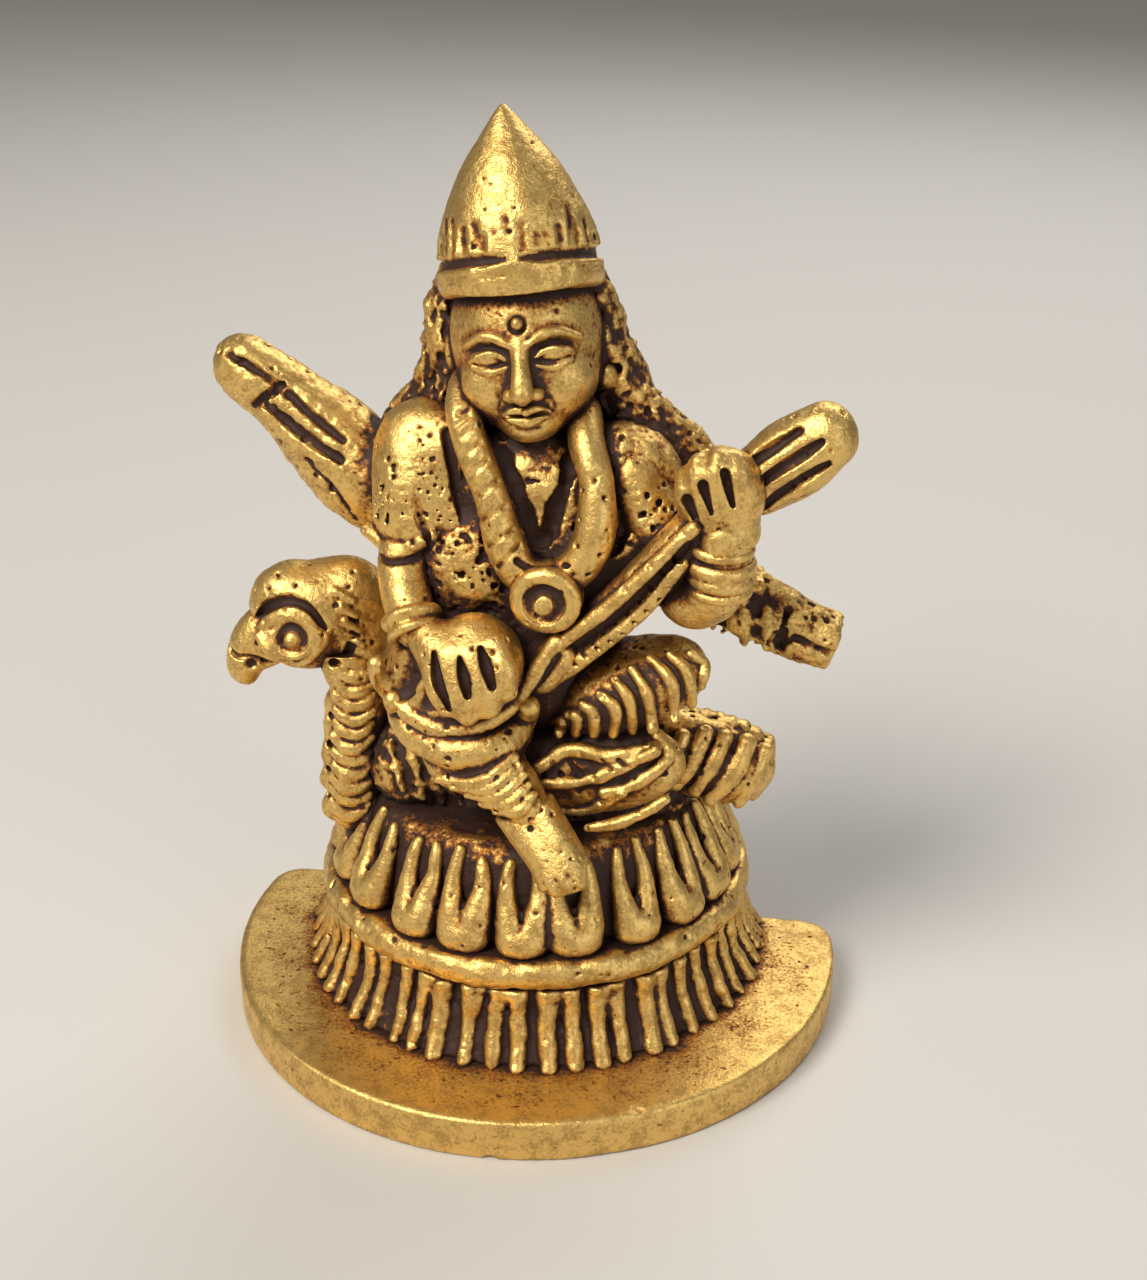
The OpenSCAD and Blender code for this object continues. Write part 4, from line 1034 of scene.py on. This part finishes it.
bangle = Wax(perch, (-8.8, -10.2, 13.2), (-2.6, -4.4, 18.6), 0.11, seed=94)
bangle.roll(ring_round((-6.2, -6.8, 16.0), (0.9, -1.4, -1.7), 1.65, 0.42), blend=0)
bangle.roll(ring_round((-5.8, -7.3, 15.3), (0.9, -1.4, -1.7), 1.6, 0.36), blend=0.1)
bangle.roll(ring_round((-6.0, -7.0, 15.7), (0.9, -1.4, -1.7), 1.35, 0.45), blend=0.1)
bangle.weather(0.03, 1.2, 0.009, 0.3, pits=16)
hand_over(bangle.cast("right_bangle"), "right_bangle", aged_brass)


# ---------------------------------------------------------- right_front_hand
# The right hand lies on the strings over the bowl. It is one mitten of wax with the fingers
# pressed down on it as four rolls, and deep slots between them.

right_hand = Wax(perch, (-6.6, -12.4, 9.0), (2.2, -5.8, 17.8), 0.11, seed=95)
right_hand.lump((-1.9, -8.0, 13.6), (3.3, 2.4, 3.5), (-14, 18, 0), blend=0)
right_hand.roll([(-5.4, -7.4, 15.6, 1.3), (-4.2, -8.2, 14.8, 1.6), (-3.0, -8.6, 14.2, 1.8)], 8, blend=0.7)
fingers = (((-3.6, -9.0, 14.4), (-3.8, -9.9, 12.8), (-3.2, -10.0, 11.4), 0.8),
           ((-2.6, -9.4, 14.4), (-2.2, -10.4, 12.8), (-1.7, -10.4, 11.2), 0.86),
           ((-1.2, -9.4, 14.9), (-0.7, -10.3, 13.2), (-0.3, -10.2, 11.7), 0.84),
           ((-0.1, -9.0, 15.6), (0.6, -9.8, 14.2), (0.8, -9.8, 12.8), 0.78))
for a, b, c, r in fingers:
    right_hand.roll([(*a, r), (*b, r), (*c, r * 0.75)], 10, blend=0.9)
slots = (((-3.9, 15.4), (-3.6, 13.4), (-2.9, 11.6)), ((-2.2, 15.2), (-1.95, 14.0), (-1.7, 12.6)),
         ((-0.9, 16.0), (-0.5, 14.8), (-0.1, 13.4)))
for slot in slots:
    right_hand.scratch([(a, -10.4, b, r) for (a, b), r in zip(slot, (0.2, 0.4, 0.26))], 0.8, 12)
right_hand.weather(0.038, 1.3, 0.009, 0.3, pits=40)
hand_over(right_hand.cast("right_front_hand"), "right_front_hand", aged_brass)


# ------------------------------------------------------------ left_front_arm
# The left arm drops from the shoulder to a round elbow and comes straight up again to the
# neck of the instrument. The upper part is pricked a little, and the rest is smooth.

left_arm = Wax(perch, (4.6, -9.4, 13.8), (17.2, 1.6, 28.6), 0.13, seed=96)
left_arm.roll([(7.4, -1.4, 24.8, 2.2), (8.8, -2.2, 22.2, 2.1), (10.6, -2.9, 19.6, 2.0),
               (12.0, -3.6, 18.2, 2.0)], 12, blend=0)
left_arm.roll([(12.2, -3.8, 17.9, 2.15), (13.0, -4.6, 18.8, 2.05), (13.6, -5.0, 20.6, 1.85),
               (13.7, -5.2, 22.6, 1.8)], 10, blend=0.4)
left_arm.lump((11.6, -4.0, 17.6), (2.1, 1.9, 1.7), (0, 16, 0), blend=0.5)
left_arm.scratch([(11.0, -5.2, 20.8, 0.4), (10.6, -5.2, 19.4, 0.4), (9.6, -5, 18.0, 0.4)], 0.5, 10)
prick(left_arm, 60, (6.0, -3, 20), (11, -3, 26), 0.24)
left_arm.weather(0.045, 1.5, 0.013, 0.3, pits=80)
hand_over(left_arm.cast("left_front_arm"), "left_front_arm", aged_brass)


# -------------------------------------------------------------- left_bangles
# Two wide bangles sit one over the other on the left forearm. Each is a pair of thin rolls of
# wax wound round it and pressed together.

bangles = Wax(perch, (10.8, -8.4, 17.6), (17, -1.6, 23.6), 0.11, seed=97)
for height, thick in ((19.1, 0.36), (20.0, 0.52), (20.8, 0.55), (21.9, 0.4)):
    bangles.roll(ring_round((13.55, -5.05, height), (0.05, -0.1, 1), 1.75, thick), blend=0.18)
bangles.roll(ring_round((13.5, -5.0, 20.4), (0.05, -0.1, 1), 1.45, 0.6), blend=0.1)
bangles.weather(0.03, 1.2, 0.009, 0.3, pits=24)
hand_over(bangles.cast("left_bangles"), "left_bangles", aged_brass)


# ----------------------------------------------------------- left_front_hand
# The left hand grips the neck of the instrument from the front. Four fingers curl over it,
# parted by short cuts, with the back of the hand left round and bright.

left_hand = Wax(perch, (9.2, -9.4, 20.8), (17.2, -2, 30.2), 0.11, seed=98)
left_hand.lump((13.4, -5.0, 25.3), (2.7, 2.0, 3.2), (0, 4, 0), blend=0)
left_hand.lump((13.9, -5.0, 22.9), (2.0, 1.8, 1.6), blend=0.6)
grips = (((11.6, -5.0, 24.2), (11.3, -6.0, 25.4), (11.2, -5.6, 26.6), 0.7),
         ((12.4, -5.4, 25.4), (12.1, -6.3, 26.6), (12.0, -5.8, 27.6), 0.72),
         ((13.4, -5.6, 25.8), (13.2, -6.4, 27.0), (13.1, -5.9, 28.0), 0.74),
         ((14.5, -5.2, 25.6), (14.5, -6.1, 26.8), (14.3, -5.6, 27.7), 0.74))
for a, b, c, r in grips:
    left_hand.roll([(*a, r), (*b, r * 1.05), (*c, r * 0.85)], 10, blend=0.5)
for a, b in (((11.5, 25.6), (12.3, 24.0)), ((12.4, 26.6), (13.0, 24.9)), ((13.7, 27.5), (14.3, 25.4))):
    left_hand.scratch([(a[0], -7, a[1], 0.34), (b[0], -7, b[1], 0.16)], 0.7, 8)
left_hand.scratch([(13.5, -7, 23.8, 0.12), (13.5, -7, 22.5, 0.3)], 0.5, 5)
left_hand.scratch([(11.9, -6.6, 21.8, 0.28), (13.4, -7, 21.9, 0.3), (15.4, -6.6, 22.3, 0.28)], 0.4, 10)
left_hand.weather(0.038, 1.3, 0.009, 0.3, pits=40)
hand_over(left_hand.cast("left_front_hand"), "left_front_hand", aged_brass)


# ------------------------------------------------------------ right_back_arm
# The raised back arm is one long paddle of wax, wide where it leaves the back and narrow at
# the fist. A few long cuts mark the fingers and the thing held in them.

raised = Wax(perch, (-23.0, -1.6, 16.6), (-5.6, 6.2, 33.0), 0.14, seed=101)
raised.roll([(-8.0, 2.0, 22.6, 3.4), (-11.4, 2.1, 22.8, 3.3), (-13.8, 2.2, 24.8, 3.1),
             (-16.6, 2.2, 27.2, 2.5), (-18.9, 2.2, 28.9, 2.3), (-19.7, 2.2, 29.5, 2.15)], 18, blend=0)
raised.roll([(-10.4, 1.8, 19.8, 1.8), (-12.6, 1.9, 21.4, 1.9), (-15.4, 2, 24.0, 1.6)], 10, blend=1.0)
raised.scratch([(-20.0, -0.6, 31.4, 0.3), (-17.6, -0.9, 30.2, 0.34), (-16.2, -0.9, 29.2, 0.3)], 0.45, 10)
raised.scratch([(-19.0, -0.8, 27.4, 0.3), (-17.4, -1.0, 28.6, 0.34), (-16.4, -0.8, 29.6, 0.3)], 0.5, 10)
raised.scratch([(-17.4, -0.9, 28.0, 0.36), (-15.0, -1.2, 26.2, 0.42), (-12.4, -1.2, 24.6, 0.4)], 0.55, 14)
raised.scratch([(-16.0, -0.9, 29.0, 0.3), (-14.0, -1.1, 27.4, 0.34), (-12.2, -1.2, 26.0, 0.34)], 0.45, 14)
raised.scratch([(-14.8, -1.2, 24.4, 0.24), (-12.8, -1.3, 22.4, 0.26), (-11.6, -1.2, 20.4, 0.26)], 0.3, 12)
for k in range(3):
    fist = (-18.5 + 0.9 * k, 6, 30.9 - 0.9 * k, 0.3)
    elbow = (-13.5 + 0.6 * k, 6, 26.6 - 1.2 * k, 0.34)
    raised.scratch([fist, elbow], 0.4, 10, way=BEHIND)
raised.weather(0.08, 1.5, 0.04, 0.35, pits=130, pit_size=0.18)
hand_over(raised.cast("right_back_arm"), "right_back_arm", aged_brass)


# ------------------------------------------------------------- left_back_arm
# The lowered back arm is a stub with a blunt, sawn-off end. The inner half is ragged metal
# where the mould broke away, and only the end of it was cleaned up.

lowered = Wax(perch, (8.0, -2.4, 9.6), (22.6, 4.8, 20.4), 0.14, seed=102)
lowered.roll([(9.6, 1.4, 17.6, 2.3), (12.4, 1.4, 16.2, 2.2), (15.6, 1.2, 14.8, 2.1),
              (19.2, 1.0, 13.6, 2.1), (21, 1.0, 13.1, 2.05)], 14, blend=0)
along_stub = 0.96 * lowered.lines[0][:, None, None] - 0.28 * lowered.lines[2][None, None, :]
lowered.slice_off(along_stub - 0.96 * 21.0 + 0.28 * 13.2 + 0 * lowered.depth, 0.5)
lowered.scratch([(18.0, -1.2, 16.6, 0.34), (17.6, -1.5, 14.6, 0.4), (17.4, -1.4, 12.6, 0.36)], 0.5, 12)
lowered.scratch([(18.4, -1.4, 14.4, 0.3), (19.8, -1.6, 13.8, 0.34), (20.8, -1.4, 13.4, 0.28)], 0.4, 8)
lowered.roll([(12.6, 1.4, 17.4, 1.4), (15.0, 1.2, 16.6, 1.5), (17.0, 1.2, 15.4, 1.4)], 8, blend=0.5)
ragged = clouds(lowered.depth.shape, lowered.step, 0.75, lowered.rng)
inner = np.clip((17.4 - lowered.lines[0]) / 1.2, 0, 1)[:, None, None]
lowered.depth += (0.32 * inner * ragged).astype(np.float32)
lowered.weather(0.1, 1.2, 0.05, 0.35, pits=120, pit_size=0.22)
hand_over(lowered.cast("left_back_arm"), "left_back_arm", dark_brass)


# ---------------------------------------------------------------- veena_bowl
# The bowl of the veena, a long lute, rests on the right knee. A rolled lip runs round the
# lower side of it, with a deep line beneath.

bowl = Wax(perch, (-9.4, -11.4, 5.6), (4.8, 0.4, 17.6), 0.14, seed=103)
bowl.lump((-3.2, -5.4, 11.5), (5.2, 4.2, 4.6), blend=0)
lip = [(-8.2, 13.4), (-7.9, 11.9), (-6.9, 10.6), (-5.2, 9.5), (-3.3, 9.1), (-1.0, 9.8), (0.9, 11.5),
       (2.4, 13.8), (3.7, 15.9)]
bowl.roll([(2.2, -6.2, 12.6, 1.4), (3.4, -6.2, 14.0, 1.3)], blend=0.8)
bowl.ridge([(a, -8.5, b, 0.66) for a, b in lip], 0.62, 34, blend=0.2)
bowl.scratch([(a + 0.15, -8.5, b - 1.0, 0.3) for a, b in lip], 0.45, 34)
bowl.dent(bowl.skin([(-6.3, -8.5, 12.9)], FACING)[0], (1.5, 0.8, 2.2), (0, 24, 0), 0.3)
bowl.dent(bowl.skin([(-4.9, -8.5, 11.0)], FACING)[0], (1.5, 0.6, 0.9), (0, -28, 0), 0.3)
bowl.weather(0.06, 1.8, 0.013, 0.3, pits=100)
hand_over(bowl.cast("veena_bowl"), "veena_bowl", aged_brass)


# ---------------------------------------------------------- veena_neck_rails
# The neck of the veena is a bar with a smooth rail along its upper edge and a notched rail,
# its frets, along the lower. The channel between them is left black.

rails = Wax(perch, (0.4, -9.6, 10.6), (14.4, -2.2, 25.4), 0.12, seed=104)
rails.roll([(2.2, -5.2, 13.0, 1.5), (6.4, -5.2, 16.6, 1.55), (9.6, -5.0, 20.0, 1.6),
            (12.6, -4.6, 23.6, 1.6)], 16, blend=0)
smooth = [(2.6, -7, 14.3), (3.6, -7, 15.2), (6.8, -7, 18.1), (9.3, -7, 20.8), (11.9, -6.6, 23.6)]
frets = [(2.6, -7, 12.2), (3.8, -7, 13.1), (6.2, -7, 15.2), (8.8, -7, 17.8), (11.2, -6.6, 21.2)]
rails.ridge([(*p, 0.5) for p in smooth], 0.75, 30)
rails.ridge([(*p, 0.5) for p in frets], 0.75, 30)
groove = [((a[0] + b[0]) / 2, a[1], (a[2] + b[2]) / 2) for a, b in zip(smooth, frets)]
rails.scratch([(*p, 0.42) for p in groove], 0.5, 30)
for p in bend(frets, 15)[1:]:
    x, y, z = p
    rails.scratch([(x - 0.35, y - 0.6, z + 0.6, 0.16), (x + 0.45, y - 0.6, z - 0.6, 0.16)], 0.28)
rails.weather(0.038, 1.3, 0.013, 0.3, pits=60)
hand_over(rails.cast("veena_rails"), "veena_neck_rails", aged_brass)


# ---------------------------------------------------------------- veena_head
# The head of the veena is a fat leaf above the left hand. Three long cuts run down it to a
# blunt, rounded end.

leaf = Wax(perch, (12.0, -6.6, 21.6), (22.8, 1.4, 32.6), 0.13, seed=105)
leaf.roll([(13.6, -3.2, 24.4, 1.6), (15.6, -3.0, 26.0, 2.1), (17.6, -2.8, 27.6, 2.3),
           (19.4, -2.6, 29.2, 1.7)], 14, blend=0)
leaf.roll([(15.8, -3.0, 25.2, 1.5), (17.8, -2.8, 26.8, 2.0), (19.6, -2.6, 28.4, 1.9)], 12, blend=0.8)
cuts = (((14.9, 27.3), (18.0, 29.9)), ((15.3, 25.9), (19.4, 29.2)), ((16.0, 24.7), (19.9, 27.9)))
for start, stop in cuts:
    a, b = np.array(start), np.array(stop)
    across, up = (a + b) / 2
    leaf.scratch([(a[0], -5, a[1], 0.3), (across, -5.3, up + 0.15, 0.4), (b[0], -5, b[1], 0.22)], 0.62, 14)
    leaf.scratch([(a[0] + 0.4, 1, a[1], 0.3), (b[0], 1, b[1], 0.3)], 0.4, 10, way=BEHIND)
leaf.weather(0.045, 1.4, 0.013, 0.3, pits=70)
hand_over(leaf.cast("veena_head"), "veena_head", aged_brass)


# ------------------------------------------------------------------- hollows
# When it is cast, the whole figure is dipped in dark lacquer, and the lacquer is then wiped
# and buffed off. It stays in the hollows, so each point keeps a note of how deep it sits.

cell = 0.2
close_share, middle_share, wide_share, edge_share = 0.9, 1.4, 0.7, 0.45
space_low = np.array([-23.5, -15, -0.5])
space = np.zeros(np.ceil((np.array([23.5, 15.5, 67]) - space_low) / cell).astype(int), np.float32)


def look_up(block, where):
    """Read a block of cells between its cells, at places given in cells."""
    where = np.clip(where, 0, np.array(block.shape) - 1.001)
    i = where.astype(int)
    t = (where - i).astype(np.float32)
    total = 0
    for corner in range(8):
        bits = [(corner >> k) & 1 for k in range(3)]
        weight = np.prod([t[:, k] if b else 1 - t[:, k] for k, b in enumerate(bits)], axis=0)
        total = total + weight * block[i[:, 0] + bits[0], i[:, 1] + bits[1], i[:, 2] + bits[2]]
    return total


def blur(block, reach):
    """Soften a block by three box filters in each direction."""
    half = max(1, int(round(reach)))
    for axis in range(3):
        for _ in range(3):
            pad = [(half + 1, half) if k == axis else (0, 0) for k in range(3)]
            run = np.cumsum(np.pad(block, pad, mode="edge"), axis=axis, dtype=np.float32)
            n = block.shape[axis]
            block = (run.take(range(2 * half + 1, 2 * half + 1 + n), axis)
                     - run.take(range(n), axis)) / (2 * half + 1)
    return block


for _, wax in castings:
    reach = wax.step * (np.array(wax.depth.shape) - 1)
    ends = np.array([wax.low + reach * [i & 1, (i >> 1) & 1, i >> 2] for i in range(8)])
    ends = (ends @ wax.tilt.T + wax.home - space_low) / cell
    start = np.maximum(np.floor(ends.min(0)).astype(int), 0)
    stop = np.minimum(np.ceil(ends.max(0)).astype(int), space.shape)
    places = np.stack(np.meshgrid(*[np.arange(a, b) for a, b in zip(start, stop)], indexing="ij"), -1)
    square = (wax.tilt ** 2).sum(0).mean()
    where = (places.reshape(-1, 3) * cell + space_low - wax.home) @ wax.tilt / square - wax.low
    inside = ((where > 0) & (where < reach)).all(1)
    solid = np.where(inside, np.clip(0.5 - look_up(wax.depth, where / wax.step) / cell, 0, 1), 0)
    part = tuple(slice(a, b) for a, b in zip(start, stop))
    space[part] = np.maximum(space[part], solid.reshape(space[part].shape))

close, middle, wide = blur(space, 1), blur(space, 3), blur(space, 7)
for piece, wax in castings:
    points = np.empty(len(piece.data.vertices) * 3, np.float32)
    piece.data.vertices.foreach_get("co", points)
    points = points.reshape(-1, 3) * 1000
    where = (points - space_low) / cell
    sunk = (close_share * (look_up(close, where) - 0.5) + middle_share * (look_up(middle, where) - 0.5)
            + wide_share * (look_up(wide, where) - 0.5))
    own = blur(np.clip(wax.depth / wax.step, -2.5, 2.5), 1)
    square = (wax.tilt ** 2).sum(0).mean()
    sunk -= edge_share * look_up(own, ((points - wax.home) @ wax.tilt / square - wax.low) / wax.step)
    note = piece.data.attributes.new("hollow", "FLOAT", "POINT")
    note.data.foreach_set("value", np.clip(0.5 + sunk, 0, 1).astype(np.float32))


# -------------------------------------------------------------------- studio
# The figure stands on a pale floor under one large soft lamp at the front left, with weaker
# ones at the right and behind. The camera looks down on it from the front, right of centre.

floor_finish = bpy.data.materials.new("floor")
floor_finish.use_nodes = True
floor_finish.node_tree.nodes["Principled BSDF"].inputs["Base Color"].default_value = (0.62, 0.6, 0.57, 1)
floor_finish.node_tree.nodes["Principled BSDF"].inputs["Roughness"].default_value = 0.75
floor_mesh = bpy.data.meshes.new("floor")
floor_mesh.from_pydata([(-2, -2, 0), (2, -2, 0), (2, 2, 0), (-2, 2, 0)], [], [(0, 1, 2, 3)])
floor = bpy.data.objects.new("floor", floor_mesh)
floor_mesh.materials.append(floor_finish)
bpy.context.scene.collection.objects.link(floor)


def aim(thing, at, target, roll=0.0):
    way = Vector(target) - Vector(at)
    thing.location = at
    thing.rotation_mode = "QUATERNION"
    turn = way.to_track_quat("-Z", "Y")
    thing.rotation_quaternion = turn @ Quaternion((0, 0, 1), math.radians(roll))


def lamp(name, at, size, power, tint):
    light = bpy.data.lights.new(name, "AREA")
    light.shape = "RECTANGLE"
    light.size, light.size_y = size
    light.energy = power
    light.color = tint
    thing = bpy.data.objects.new(name, light)
    bpy.context.scene.collection.objects.link(thing)
    aim(thing, at, (0, 0, 0.03))


lamp("key", (-0.22, -0.3, 0.42), (0.24, 0.24), 3.0, (1.0, 0.95, 0.87))
lamp("fill", (0.4, -0.3, 0.2), (0.3, 0.3), 0.6, (0.95, 0.97, 1.0))
lamp("back", (0.1, 0.35, 0.35), (0.4, 0.2), 1.0, (1.0, 0.98, 0.95))

world = bpy.data.worlds.new("room")
world.use_nodes = True
world.node_tree.nodes["Background"].inputs["Color"].default_value = (0.6, 0.58, 0.55, 1)
world.node_tree.nodes["Background"].inputs["Strength"].default_value = 0.35
bpy.context.scene.world = world

camera = bpy.data.cameras.new("camera")
camera.sensor_width = 36
camera.lens = 50.6
camera_thing = bpy.data.objects.new("camera", camera)
bpy.context.scene.collection.objects.link(camera_thing)
aim(camera_thing, (0.02226, -0.1049, 0.08176), (0.00530, -0.00667, 0.03512), 0.5)
bpy.context.scene.camera = camera_thing
bpy.context.scene.view_settings.view_transform = "Standard"
